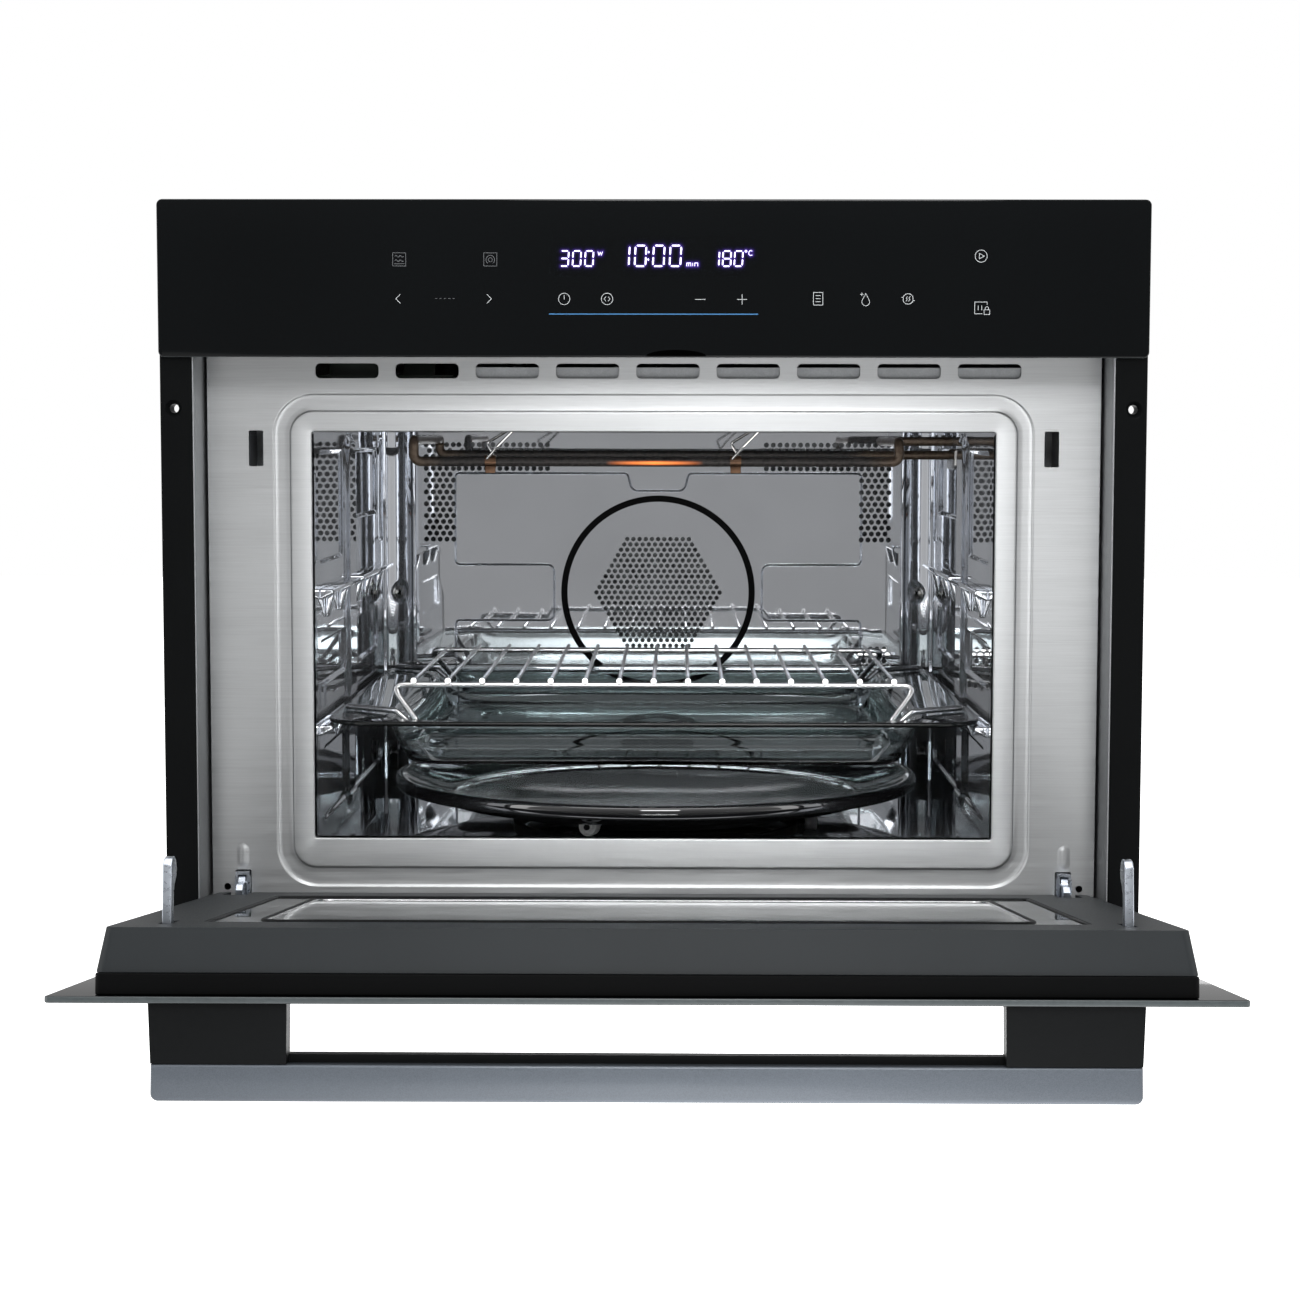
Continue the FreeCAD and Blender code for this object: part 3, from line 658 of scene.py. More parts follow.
FRONT_STEEL = brushed_metal("front_steel", (0.41, 0.418, 0.424), 0.38)
CAVITY_STEEL = polished_metal("cavity_steel", (0.68, 0.7, 0.735), 0.022, 0.14)
GALVANISED = galvanised_metal("galvanised_steel", (0.3, 0.31, 0.32))
BLACK_GLASS = black_glass("black_glass")
CLEAR_GLASS = clear_glass("clear_glass", (0.62, 0.68, 0.68))
GLASS_RIM = moulded_plastic("glass_rim", (0.03, 0.037, 0.039), 0.35, 0.01, 500, 0.5)
# Near-black ring for the clear glass tray's rim: painted shade for the dark line the thick glass edge shows.
TRAY_RIM_PAINTED_SHADE = moulded_plastic("tray_rim_painted_shade", (0.003, 0.004, 0.004), 0.2, 0.005, 600, 0.3)
DOOR_GLASS = clear_glass("door_glass_clear", (0.82, 0.86, 0.86))
# Real black paint on the trims, seal ring and door screen; on the screw heads the same black is painted shade
# in their cross recesses.
BLACK_PAINT_AND_RECESS_SHADE = moulded_plastic("black_paint", (0.003, 0.0033, 0.0035), 0.34, 0.008, 900, 0.03)
BLACK_PLASTIC = moulded_plastic("black_plastic", (0.0026, 0.003, 0.0033), 0.45, 0.01, 900, 0.08)
BASE_PLASTIC = moulded_plastic("base_plastic", (0.0012, 0.0013, 0.0014), 0.5, 0.01, 900, 0.04)
DARK_HALF_ELLIPSE = moulded_plastic("dark_half_ellipse", (0.0004, 0.0004, 0.0004), 0.9, 0.0, 900, 0.0)
CHARCOAL = moulded_plastic("charcoal_plastic", (0.0082, 0.0102, 0.0116), 0.48, 0.03, 1300, 0.2)
HANDLE = satin_lacquer("handle_metal", (0.066, 0.076, 0.09))
ZINC = plain_metal("zinc_plate", (0.5, 0.54, 0.6), 0.3)
CHROME = plain_metal("chrome_wire", (0.84, 0.84, 0.85), 0.2, 300)
# White caps for the rack's wire ends: painted highlight for the cut ends catching the light.
WIRE_END_PAINTED_HIGHLIGHT = moulded_plastic("wire_end_painted_highlight", (0.9, 0.9, 0.89), 0.35, 0.005, 600)
HEATER = heater_sheath("heater_sheath")
COPPER = plain_metal("copper_strap", (0.15, 0.085, 0.05), 0.35, 500, (0.08, 0.055, 0.045))
ENAMEL = gloss_enamel("dark_enamel", (0.003, 0.003, 0.0034))
WHITE_POLYMER = moulded_plastic("white_polymer", (0.82, 0.82, 0.8), 0.35, 0.01, 600)
GREY_POLYMER = moulded_plastic("grey_polymer", (0.2, 0.21, 0.22), 0.45, 0.02, 900)
BOARD = moulded_plastic("circuit_board", (0.004, 0.02, 0.009), 0.4, 0.02, 300)
SCREW = plain_metal("screw_steel", (0.55, 0.54, 0.52), 0.2, 400)
LAMP = clear_glass("lamp_glass", (0.9, 0.88, 0.82), 0.2)
GLYPH = light_print("panel_print", (0.5, 0.52, 0.53), 0.2)
DIM_GLYPH = light_print("dim_print", (0.1, 0.105, 0.11), 0.05)
DIGIT = light_print("digit_light", (0.84, 0.8, 1.0), 1.5)
GLOW = halo("digit_glow", (0.24, 0.13, 0.95), 1.3)
BLUE_LINE = light_print("blue_line", (0.02, 0.13, 0.3), 0.2)


# ================================================================ front plate
OPENING = (-211, 211, 63.1, 316.3)
RING_OUTER = (-234.5, 234.5, 33.0, 339.3)
RING_INNER = (-224, 224, 45.0, 328.6)
PLATE = (-275.4, 275.4, 3.0, 366.0)
SHEET = 1.2
VENTS = [8.9 + 49.44 * i for i in range(-4, 5)]
CLIP_X = 256.2


def ring_between(share, depth):
    """Loop of the pressed channel: share 0 is its outer line and 1 its inner line."""
    size = [a + (b - a) * share for a, b in zip(RING_OUTER, RING_INNER)]
    radius = 25 + (14 - 25) * share
    return [front(u, v, depth) for u, v in outline(rect(*size), radius, steps=16)]


def make_front_plate():
    border = outline(rect(*PLATE), 2, steps=3)
    slots = [outline(rect(x - 19.5, x + 19.5, 349.1, 358.3), 3, steps=5) for x in VENTS]
    slots += [outline(rect(s * 245.5 - 4.5, s * 245.5 + 4.5, 295, 317), 0.8, steps=2) for s in (-1, 1)]
    slots += [outline(rect(s * CLIP_X - 5, s * CLIP_X + 5, 25, 43), 0.8, steps=2) for s in (-1, 1)]
    slots.append(outline(rect(*RING_OUTER), 25, -0.8, steps=16))
    rounds = [(s * 266.3, 32.2, 2.2, 16) for s in (-1, 1)]
    bulges = [
        pressing(lambda i, x=s * 256.6: outline(rect(x - 4.5, x + 4.5, 44, 60), 4.4, i, steps=6), 0.5, 4.3)
        for s in (-1, 1)
    ]
    flat = sheet(border, slots, rounds, bulges, SHEET)
    add_sheets("front_plate_face", [(flat, front)], FRONT_STEEL, "housing")

    profile = [(-0.076, 0.0), (-0.03, 0.08), (0.0, 0.45), (0.04, 0.85), (0.1, 1.0), (0.3, 1.02), (0.6, 1.02),
               (0.88, 1.0), (0.93, 0.85), (0.97, 0.45), (1.0, 0.1), (1.05, 0.0), (1.12, 0.0)]
    rings = [ring_between(share, depth) for share, depth in profile]
    lip = 1.1
    rings.append([front(u, v, 0.0) for u, v in outline(rect(*OPENING), 1.6, -lip, steps=16)])
    for k in range(1, 6):
        angle = math.pi / 2 * k / 5
        inset = -lip + lip * math.sin(angle)
        depth = lip * (1 - math.cos(angle))
        rings.append([front(u, v, depth) for u, v in outline(rect(*OPENING), 1.6, inset, steps=16)])
    rings.append([front(u, v, 9.0) for u, v in outline(rect(*OPENING), 1.6, 0, steps=16)])
    back = [[(x, y + 0.9, z) for x, y, z in ring] for ring in reversed(rings[:-1])]
    shape = skin(rings + back, closed=True)
    add("front_plate_channel", shape, FRONT_STEEL, "housing", ("front_plate",), angle=50)


# ================================================================ cavity
WALL = 211.0
FLOOR, CEILING = 47.7, 322.0
CHAMFER, BACK, BACK_HALF = 401.0, 421.0, 191.0
FAN = 191.8


def hole_grid(u0, u1, v0, v1, pitch, radius):
    """Staggered rows of round holes that fill a rectangle."""
    rounds = []
    for j in range(int((v1 - v0) / (pitch * 0.866)) + 1):
        shift = 0.5 * (j % 2)
        for i in range(int((u1 - u0) / pitch - shift) + 1):
            rounds.append((u0 + (i + shift) * pitch, v0 + j * pitch * 0.866, radius, 10))
    return rounds


def back_panel_outline(inset):
    """Outline of the shape pressed in the back wall, with waists at the sides and a notch on top."""
    half, waist, low, high = 159.0, 82.0, 62.0, 285.5
    step_low, step_high = 170.9, 212.3
    right = [(half, low), (half, step_low), (waist, step_low), (waist, step_high), (half, step_high)]
    right += [(half, high), (23, high), (19.5, 272)]
    corners = [(-half, low)] + right + [(-u, v) for u, v in reversed(right[1:])]
    return outline(corners, 4.5, inset, steps=5)


def make_back_wall():
    border = outline(rect(-BACK_HALF - 1, BACK_HALF + 1, FLOOR, CEILING), 0.5, steps=2)
    rounds = []
    for side in (-1, 1):
        low, high = sorted((side * 180.5, side * 158.0))
        rounds += hole_grid(low, high, 233, 308, 5.3, 2.0)
        low, high = sorted((side * 155.0, side * 84.0))
        rounds += hole_grid(low, high, 288.1, 308, 5.3, 2.0)
    rounds += hole_grid(158, 180.5, 134, 152, 5.3, 2.0)
    fan_hole = circle(0, FAN, 75.5, 96)
    wall = sheet(border, [fan_hole], rounds, [pressing(back_panel_outline, 1.5, 2.2)], 0.8)
    add_sheets("back_wall_sheet", [(wall, lambda u, v, w: (u, BACK + w, v))], CAVITY_STEEL, "housing",
               ("cavity_back_wall",))


def side_pressings():
    def box_at(y0, y1, z0, z1, radius):
        return lambda i: outline(rect(y0, y1, z0, z1), radius, i, steps=6)
    return [
        pressing(box_at(160, 208, 56, 316, 12), 2.6, 9.0),
        pressing(box_at(217, 353, 255, 305, 9), -1.8, 3.5),
        pressing(box_at(229, 353, 154, 187, 9), -1.8, 3.5),
        pressing(box_at(30, 150, 232, 305, 9), -1.6, 3.5),
        pressing(box_at(30, 161, 154, 184.5, 7), -1.8, 3.0),
        pressing(box_at(360, 392, 232, 312, 6), -1.2, 3.0),
        pressing(box_at(40, 380, 66, 116, 10), -1.8, 4.0),
    ]


def make_side_wall(name, side):
    border = outline(rect(1.5, CHAMFER, FLOOR, CEILING), 0.4, steps=2)
    keyhole = outline([(319, 196), (321, 192.5), (325, 192.5), (327, 196), (323, 201)], 1.2, steps=3)
    wall = sheet(border, [keyhole], [], side_pressings(), 0.8)
    slant = math.sqrt(0.5)
    length = 20 / slant
    dimple = pressing(lambda i: circle(length / 2, 192.5, 10 - i, 32), -1.6, 5.0)
    swell = pressing(lambda i: rect(0.4 + i, length - 0.4 - i, FLOOR - 20 + i, CEILING + 20 - i), 3.4, 12.0)
    chamfer = sheet(outline(rect(0, length, FLOOR, CEILING), 0.4, steps=2), [], [], [swell, dimple], 0.8)

    def on_wall(u, v, w):
        return (side * (WALL + w), u, v)

    def on_chamfer(u, v, w):
        return (side * (WALL - u * slant + w * slant), CHAMFER + u * slant + w * slant, v)

    sheets = [(wall, on_wall), (chamfer, on_chamfer)]
    add_sheets(name + "_sheet", sheets, CAVITY_STEEL, "housing")

    def across(u, v, w):
        return (side * u, w, v)
    pieces = []
    for y0, y1, top in ((22, 396, 131.2), (30, 175, 217), (197, 384, 217)):
        profile = [(WALL + 0.4, top - 7.5), (WALL + 0.4, top), (202.5, top), (202.5, top - 3)]
        pieces.append(slab(profile, 1.2, y0, y1, 1.4, across, steps=4))
    for y in (62, 128, 216, 268, 340):
        gusset = [(WALL + 0.4, 190), (WALL + 0.4, 211), (205, 213)]
        pieces.append(slab(gusset, 1.2, y - 6, y + 6, 2.6, across, steps=4))
    for y in (110, 230, 330):
        gusset = [(WALL + 0.4, 112), (WALL + 0.4, 125), (205, 127)]
        pieces.append(slab(gusset, 1.0, y - 5, y + 5, 2.0, across, steps=4))
    add(name + "_ledges", join(*pieces), CAVITY_STEEL, "housing", (name,))


def make_corner_beads():
    """Rounded seams where the sheets of the cavity meet."""
    pieces = []
    for side in (-1, 1):
        for x, y in ((BACK_HALF - 1.2, BACK - 1.4), (WALL - 0.5, CHAMFER - 0.6)):
            pieces.append(tube([(side * x, y, FLOOR + 0.5), (side * x, y, CEILING - 0.5)], 1.3, 12))
    for z in (FLOOR + 0.9, CEILING - 0.9):
        pieces.append(tube([(-BACK_HALF + 2, BACK - 0.9, z), (BACK_HALF - 2, BACK - 0.9, z)], 1.2, 12))
    add("cavity_seams", join(*pieces), CAVITY_STEEL, "housing")


def screw_head(centre, way, radius):
    """Pan head facing along way, on a dished washer. Its cross recess is not cut into it: a black cross of
    painted shade is laid on it apart.
    """
    profile = [(radius * 1.5, 0), (radius * 1.5, 0.35), (radius * 1.15, 0.7), (radius, 0.7), (radius, 1.2)]
    profile += [(radius * 0.8, 1.8), (radius * 0.45, 2.1), (0.02, 2.15)]
    head = lathe([(0.02, 0)] + profile, centre, way, 32)
    return head


# Black cross standing on a screw head: painted shade for the dark inside a cross recess, not a hollow.
def cross_recess_shade(centre, way, radius):
    way = Vector(way).normalized()
    one = way.orthogonal().normalized()
    two = way.cross(one)
    pieces = []
    for long, wide in ((one, two), (two, one)):
        base = Vector(centre) + way * 1.9
        rings = []
        for rise in (0.0, 0.32):
            corners = [(1, 1), (-1, 1), (-1, -1), (1, -1)]
            length, width = long * radius * 0.6, wide * radius * 0.14
            rings.append([tuple(base + length * a + width * b + way * rise) for a, b in corners])
        pieces.append(skin(rings))
    return join(*pieces)


def make_cavity_screws():
    heads, slots = [], []
    for side in (-1, 1):
        on_chamfer = ((side * 203, 409, 192.5), (-side, -1, 0))
        on_wall = ((side * WALL, 310, 205.5), (-side, 0, 0))
        for centre, way in (on_chamfer, on_wall):
            way = Vector(way).normalized()
            spot = Vector(centre) + way * (1.9 if centre[1] > 400 else 0.0)
            heads.append(screw_head(spot, way, 3.4))
            # The black crosses on the heads are painted shade for their cross recesses.
            slots.append(cross_recess_shade(spot, way, 3.4))
    add("cavity_screw_heads", join(*heads), SCREW, "housing", ("cavity_screws",))
    add("cavity_screw_recess_shade", join(*slots), BLACK_PAINT_AND_RECESS_SHADE, "housing")


def make_hangers():
    """Clips round the front leg of the grill heater, held from the ceiling by bent wires."""
    clips, wires = [], []
    band = rect(3.35, 4.3, -3.6, 3.6)
    for x in (-107.5, 53.0):
        clips.append(ring_lathe(band, (x, 100, 297), (1, 0, 0)))
        clips.append(slab(rect(x - 3.4, x + 3.4, 289.5, 294), 0.8, 96.2, 97.4, 0.3, front))
        front_wire = [(x - 2, 96, 299), (x + 5, 93, 307), (x + 15, 92, 317), (x + 15, 92, 321.8)]
        rear_wire = [(x + 3, 104, 299), (x - 3, 108, 309), (x + 10, 108, 317), (x + 10, 108, 321.8)]
        wires += [tube(bend(path, 2), 1.0, 10) for path in (front_wire, rear_wire)]
    wires.append(slab(rect(250, 304, 290, 320), 4, 212, 214, 0.4, lambda u, v, w: (w, u, v)))
    add("heater_clips", join(*clips), COPPER, "housing", ("heater_hangers",))
    add("heater_clip_wires", join(*wires), SCREW, "housing")


# ================================================================ outside of the housing
HALF_WIDTH, REAR, TOP = 278.4, 527.0, 447.0
RIB_WIDTH, RIB_ENDS = 12, (45, 480)
RIB_SECTION = (-0.8, 1.3, 1.1)  # lowest and highest level beside the sheet, and the rounding of the rim
SCREW_RADIUS = 3.2


def make_housing_details():
    """Stiffening ribs pressed into the housing's sheets, and the screws that hold its covers."""
    ribs, heads, slots = [], [], []

    def add_rib(corners, radius, place):
        ribs.append(slab(corners, radius, *RIB_SECTION, place))

    for side in (-1, 1):
        for low in (70, 218, 366):
            add_rib(rect(*RIB_ENDS, low, low + RIB_WIDTH), 6, lambda u, v, w: (side * (HALF_WIDTH + w), u, v))
    for middle in (-170, 0, 170):
        add_rib(rect(middle - 7, middle + 7, *RIB_ENDS), 7, lambda u, v, w: (u, v, TOP + w))
    for low in (236, 300):
        add_rib(rect(-150, 235, low, low + RIB_WIDTH), 6, lambda u, v, w: (u, REAR + w, v))
    add("housing_ribs", join(*ribs), GALVANISED, "housing", angle=40)

    spots = [((x, REAR, z), (0, 1, 0)) for x in (-265, -90, 90, 265) for z in (12, 435)]
    spots += [((x, REAR, 220), (0, 1, 0)) for x in (-265, 265)]
    spots += [((x, y, TOP), (0, 0, 1)) for x in (-266, 266) for y in (20, 260, 505)]
    spots += [((side * HALF_WIDTH, y, 12), (side, 0, 0)) for side in (-1, 1) for y in (30, 265, 500)]
    for spot, way in spots:
        heads.append(screw_head(spot, way, SCREW_RADIUS))
        # The black crosses on the heads are painted shade for their cross recesses.
        slots.append(cross_recess_shade(spot, way, SCREW_RADIUS))
    add("housing_screw_heads", join(*heads), SCREW, "housing")
    add("housing_screw_recess_shade", join(*slots), BLACK_PAINT_AND_RECESS_SHADE, "housing")


# ================================================================ control panel
PANEL = (-297.5, 297.5, 361.0, 455.0)
FACE, GLASS = -40.0, 3.5


def rim_finish(piece, facing, finish):
    """Gives the rim of a glass sheet its own finish; facing is the direction of the sheet's face."""
    piece.data.materials.append(finish)
    for face in piece.data.polygons:
        if abs(face.normal.dot(facing)) < 0.6:
            face.material_index = 1


def make_panel():
    shape = slab(rect(*PANEL), 3.5, FACE, FACE + GLASS, 0.7, front, steps=8)
    sheet_of_glass = add("panel_glass_sheet", shape, BLACK_GLASS, "housing", ("panel_glass",))
    rim_finish(sheet_of_glass, Vector((0, 1, 0)), GLASS_RIM)
    # A near-black half-ellipse laid on the front of the panel glass at its foot.
    turns = [math.pi * k / 24 for k in range(25)]
    dark = [(14 + 18 * math.cos(a), PANEL[2] + 0.7 + 3.8 * math.sin(a)) for a in turns]
    half_ellipse = ([front(u, v, FACE - 0.02) for u, v in dark], [tuple(range(25))])
    add("panel_dark_half_ellipse", half_ellipse, DARK_HALF_ELLIPSE, "housing", closed=False)


# The lit bars of a seven-bar digit: top, top right, low right, low, low left, top left, middle.
SEGMENTS = {"0": "1111110", "1": "0110000", "3": "1111001", "8": "1111111"}


def digit_bars(text, u, v, height, pitch):
    """Centre lines of the lit bars of a number; u is the left edge and v the foot."""
    width = height * 0.53
    slant = 0.05
    bars = []
    for mark in text:
        if mark == ":":
            for rise in (0.32, 0.68):
                x = u - 0.2 * pitch + slant * height * rise
                bars.append(((x, v + height * rise - 0.5), (x, v + height * rise + 0.5)))
            u += pitch * 0.09
            continue
        gap = height * 0.07
        mid = v + height / 2
        spots = [
            ((u + gap, v + height), (u + width - gap, v + height)),
            ((u + width, v + height - gap), (u + width, mid + gap)),
            ((u + width, mid - gap), (u + width, v + gap)),
            ((u + gap, v), (u + width - gap, v)),
            ((u, mid - gap), (u, v + gap)),
            ((u, v + height - gap), (u, mid + gap)),
            ((u + gap, mid), (u + width - gap, mid)),
        ]
        for lit, (a, b) in zip(SEGMENTS[mark], spots):
            if lit == "1":
                bars.append(tuple((p[0] + slant * (p[1] - v), p[1]) for p in (a, b)))
        u += pitch
    return bars


def bar_shape(start, end, width):
    """Lit bar with pointed ends."""
    start, end = Vector(start), Vector(end)
    along = (end - start).normalized() * width / 2
    side = Vector((-along.y, along.x))
    corners = [start - along * 0.4, start + along * 0.6 + side, end - along * 0.6 + side, end + along * 0.4]
    corners += [end - along * 0.6 - side, start + along * 0.6 - side]
    return [front(c.x, c.y, FACE - 0.04) for c in corners], [tuple(range(6))]


def arc(u, v, radius, start, end, steps=24):
    turns = [math.radians(start + (end - start) * k / steps) for k in range(steps + 1)]
    return [(u + radius * math.cos(a), v + radius * math.sin(a)) for a in turns]


def arch(u, v, width, height):
    """Stroke up, across and down again."""
    return [(u, v), (u, v + height), (u + width, v + height), (u + width, v)]


def unit_strokes():
    """Small unit signs beside the numbers."""
    w, v = -33.0, 421.8
    strokes = [[(w, v + 2.1), (w + 0.7, v), (w + 1.4, v + 1.7), (w + 2.1, v), (w + 2.8, v + 2.1)]]
    m, v = 20.2, 415.3
    strokes += [arch(m, v, 1.2, 1.9), arch(m + 1.2, v, 1.2, 1.9)[1:]]
    strokes += [[(m + 3.6, v), (m + 3.6, v + 1.9)], arch(m + 4.8, v, 1.8, 1.9)]
    d, v = 55.6, 421.6
    strokes.append(arc(d, v + 2.6, 0.6, 0, 360, 10))
    hook = [(3.8, 2.6), (2.6, 3.0), (1.7, 2.2), (1.7, 0.8), (2.6, 0), (3.8, 0.4)]
    strokes.append([(d + across, v + rise) for across, rise in hook])
    return strokes


def make_display():
    bars = digit_bars("300", -55.6, 415.3, 9.0, 7.4) + digit_bars("180", 34.6, 415.3, 9.0, 7.0)
    big = digit_bars("10:00", -21.0, 415.3, 12.2, 10.0)
    shapes = [bar_shape(a, b, 0.78) for a, b in bars] + [bar_shape(a, b, 0.9) for a, b in big]
    shapes += [ribbon(stroke, 0.27, front, FACE - 0.04) for stroke in unit_strokes()]
    add("display_digits", join(*shapes), DIGIT, "housing", closed=False)

    lines = bars + big + [(s[i], s[i + 1]) for s in unit_strokes() for i in range(len(s) - 1)]
    us, vs = np.arange(-62, 66.01, 0.8), np.arange(409, 433.01, 0.8)
    grid = np.array([(u, v) for v in vs for u in us])
    away = np.full(len(grid), 99.0)
    for a, b in lines:
        a, b = np.array(a), np.array(b)
        share = np.clip(((grid - a) @ (b - a)) / max((b - a) @ (b - a), 1e-9), 0, 1)
        away = np.minimum(away, np.linalg.norm(grid - a - share[:, None] * (b - a), axis=1))
    count = len(us)
    points = [front(u, v, FACE - 0.015) for u, v in grid]
    faces = [(j * count + i, j * count + i + 1, (j + 1) * count + i + 1, (j + 1) * count + i)
             for j in range(len(vs) - 1) for i in range(count - 1)]
    veil = add("display_glow", (points, faces), GLOW, "housing", closed=False)
    weight = veil.data.attributes.new("glow", "FLOAT", "POINT")
    near, wide = 0.75 * np.exp(-away / 0.75), 0.12 * np.exp(-away / 2.2)
    weight.data.foreach_set("value", (near + wide).astype(np.float32))


def loop_line(u0, u1, v0, v1):
    corners = rect(u0, u1, v0, v1)
    return corners + corners[:1]


def wave(u, v, half, height):
    return [(u - half + 2 * half * k / 16, v + height * math.sin(math.pi * k / 4)) for k in range(17)]


def icon_strokes():
    strokes = [[(-151.5, 398.5), (-154.2, 395.8), (-151.5, 393.1)]]
    strokes += [[(-99.5, 398.5), (-96.8, 395.8), (-99.5, 393.1)]]
    clock_u, turn_u, row = -53.2, -27.5, 395.8
    strokes += [arc(clock_u, row, 3.4, 0, 360), [(clock_u, row + 2.2), (clock_u, row - 0.4)]]
    strokes += [arc(turn_u, row, 3.4, 0, 360)]
    strokes += [[(turn_u - 0.7, row + 1.3), (turn_u - 1.8, row), (turn_u - 0.7, row - 1.3)]]
    strokes += [[(turn_u + 0.7, row + 1.3), (turn_u + 1.8, row), (turn_u + 0.7, row - 1.3)]]
    strokes += [[(25.3, 395.6), (31.4, 395.6)]]
    strokes += [[(50.4, 395.6), (56.4, 395.6)], [(53.4, 392.6), (53.4, 398.6)]]
    page = 98.9
    strokes += [loop_line(page - 2.8, page + 2.8, 392.3, 399.8)]
    strokes += [[(page - 1.5, z), (page + 1.5, z)] for z in (394.3, 396.1, 397.9)]
    drop = 127.4
    strokes += [arc(drop, 394.2, 2.3, 150, 390) + [(drop, 399.2), arc(drop, 394.2, 2.3, 150, 151)[0]]]
    strokes += [[(drop - 3.4, 398.7), (drop - 1.4, 398.7)], [(drop - 2.4, 397.7), (drop - 2.4, 399.7)]]
    steam = 152.7
    strokes += [arc(steam, 396.0, 3.1, 20, 160), arc(steam, 396.0, 3.1, 200, 340)]
    strokes += [[(steam - 4.1, 396.9), (steam - 2.9, 397.0), (steam - 2.9, 394.8)]]
    strokes += [[(steam + 2.9, 397.2), (steam + 2.9, 395.0), (steam + 4.1, 395.0)]]
    plume = [(-0.5, 394.6), (0.3, 395.6), (-0.3, 396.5), (0.5, 397.5)]
    strokes += [[(steam + s + across, rise) for across, rise in plume] for s in (-0.8, 0.8)]
    strokes += [arc(196.1, 421.4, 3.6, 0, 360)]
    strokes += [[(195.0, 419.8), (198.0, 421.4), (195.0, 423.0), (195.0, 419.8)]]
    lock = 196.6
    sign = [(0.6, 387.2), (-4.0, 387.2), (-4.0, 394.2), (3.4, 394.2), (3.4, 392.6)]
    strokes += [[(lock + across, rise) for across, rise in sign]]
    strokes += [[(lock - 1.9, 389.3), (lock - 1.9, 392.1)], [(lock + 0.2, 389.3), (lock + 0.2, 392.1)]]
    strokes += [loop_line(lock + 1.6, lock + 5.0, 386.8, 389.6)]
    strokes += [[(lock + 2.3, 389.6)] + arc(lock + 3.3, 390.4, 1.0, 180, 0, 8) + [(lock + 4.3, 389.6)]]
    return strokes


def dim_strokes():
    strokes = []
    for u, rows in ((-152.0, 2), (-97.4, 0)):
        strokes.append(loop_line(u - 3.9, u + 3.9, 415.3, 423.1))
        strokes += [wave(u, 418.4 + 2.6 * k, 2.6, 0.5) for k in range(rows)]
        strokes += [[(u - 3.0, 416.6), (u + 3.0, 416.6)]] * bool(rows)
    strokes += [arc(-97.4, 419.0, *turn) for turn in ((2.6, -50, 230), (1.2, 90, 270), (1.2, -90, 90))]
    return strokes


def make_prints():
    lines = [ribbon(stroke, 0.26, front, FACE - 0.03) for stroke in icon_strokes()]
    add("panel_icons", join(*lines), GLYPH, "housing", closed=False)
    dashes = [[(-130.5 + 2.6 * k, 396.0), (-129.3 + 2.6 * k, 396.0)] for k in range(5)]
    dim = [ribbon(stroke, 0.26, front, FACE - 0.03) for stroke in dim_strokes() + dashes]
    add("panel_mode_icons", join(*dim), DIM_GLYPH, "housing", closed=False)
    line = ribbon([(-62.3, 386.8), (63.0, 386.8)], 0.6, front, FACE - 0.03)
    add("panel_scale_line", line, BLUE_LINE, "housing", closed=False)


# ================================================================ door
PANE_FACE = -4.3


def make_door():
    glass = slab(rect(-297.5, 297.5, 2, 358), 3, FACE, FACE + GLASS, 0.8, door_front, steps=8)
    sheet_of_glass = add("door_glass_sheet", glass, BLACK_GLASS, "door", ("door_glass",))
    rim_finish(sheet_of_glass, Vector(swing((0, 1, 0))) - Vector(swing((0, 0, 0))), GLASS_RIM)

    bar = [(-245.5, -88.7), (245.5, -88.7), (245.5, -70.3), (-245.5, -70.3)]
    shape = slab(bar, [3.8, 3.8, 0.8, 0.8], 342, 352, 1.5, door_plan, steps=8)
    add("handle_bar_body", shape, HANDLE, "door", ("handle_bar",))

    for name, edge, radius, size, finish, slot in (
        ("door_gasket", rect(-228.2, 228.2, 52.8, 301.2), 5, 1.2, BLACK_PLASTIC, "black_plastic"),
        ("door_pane_seal", rect(-203, 203, 74, 281), 14, 1.5, BLACK_PLASTIC, "black_plastic"),
        ("door_pane_bead", rect(-200.8, 200.8, 76.2, 278.8), 12, 0.8, CHROME, "chrome_wire"),
    ):
        rings = []
        for across, rise in circle(0, 0, size, 10):
            loop = outline(edge, radius, across, steps=8)
            rings.append([swing((u, PANE_FACE + rise * 0.7, v)) for u, v in loop])
        add(name, skin(rings, closed=True), finish, "door")

    for name, side in (("left", -1), ("right", 1)):
        profile = [(-21, 302.5), (-3.3, 302.5), (-3.3, 304), (12, 304), (16, 302), (20, 297.5), (24, 296.5)]
        profile += [(28.5, 299), (30.5, 303), (29.5, 308), (26.5, 311), (-21, 311.5)]
        middle = side * 245.9

        def hook_place(u, v, w, middle=middle):
            return swing((middle + w, u, v))
        hook = slab(profile, 1.3, -2.35, 2.35, 0.6, hook_place, steps=4)
        add("latch_hook_body_" + name, hook, ZINC, "latch_" + name, ("latch_hook_" + name,))


# ================================================================ accessories
TRAY_TOP, TRAY_HALF, TRAY_FRONT, TRAY_BACK = 135.0, 207.0, 12.0, 415.0
BASIN_TOP, BASIN_LOW, BASIN_FLOOR = 171.0, 104.0, 108.0


def tray_loop(inset, radius, z, half=TRAY_HALF, ends=0):
    corners = rect(-half + inset, half - inset, TRAY_FRONT + ends + inset, TRAY_BACK - ends - inset)
    return [(u, v, z) for u, v in outline(corners, radius, steps=12)]


def basin_loop(inset, radius, z):
    return tray_loop(inset, radius, z, BASIN_TOP, 16)


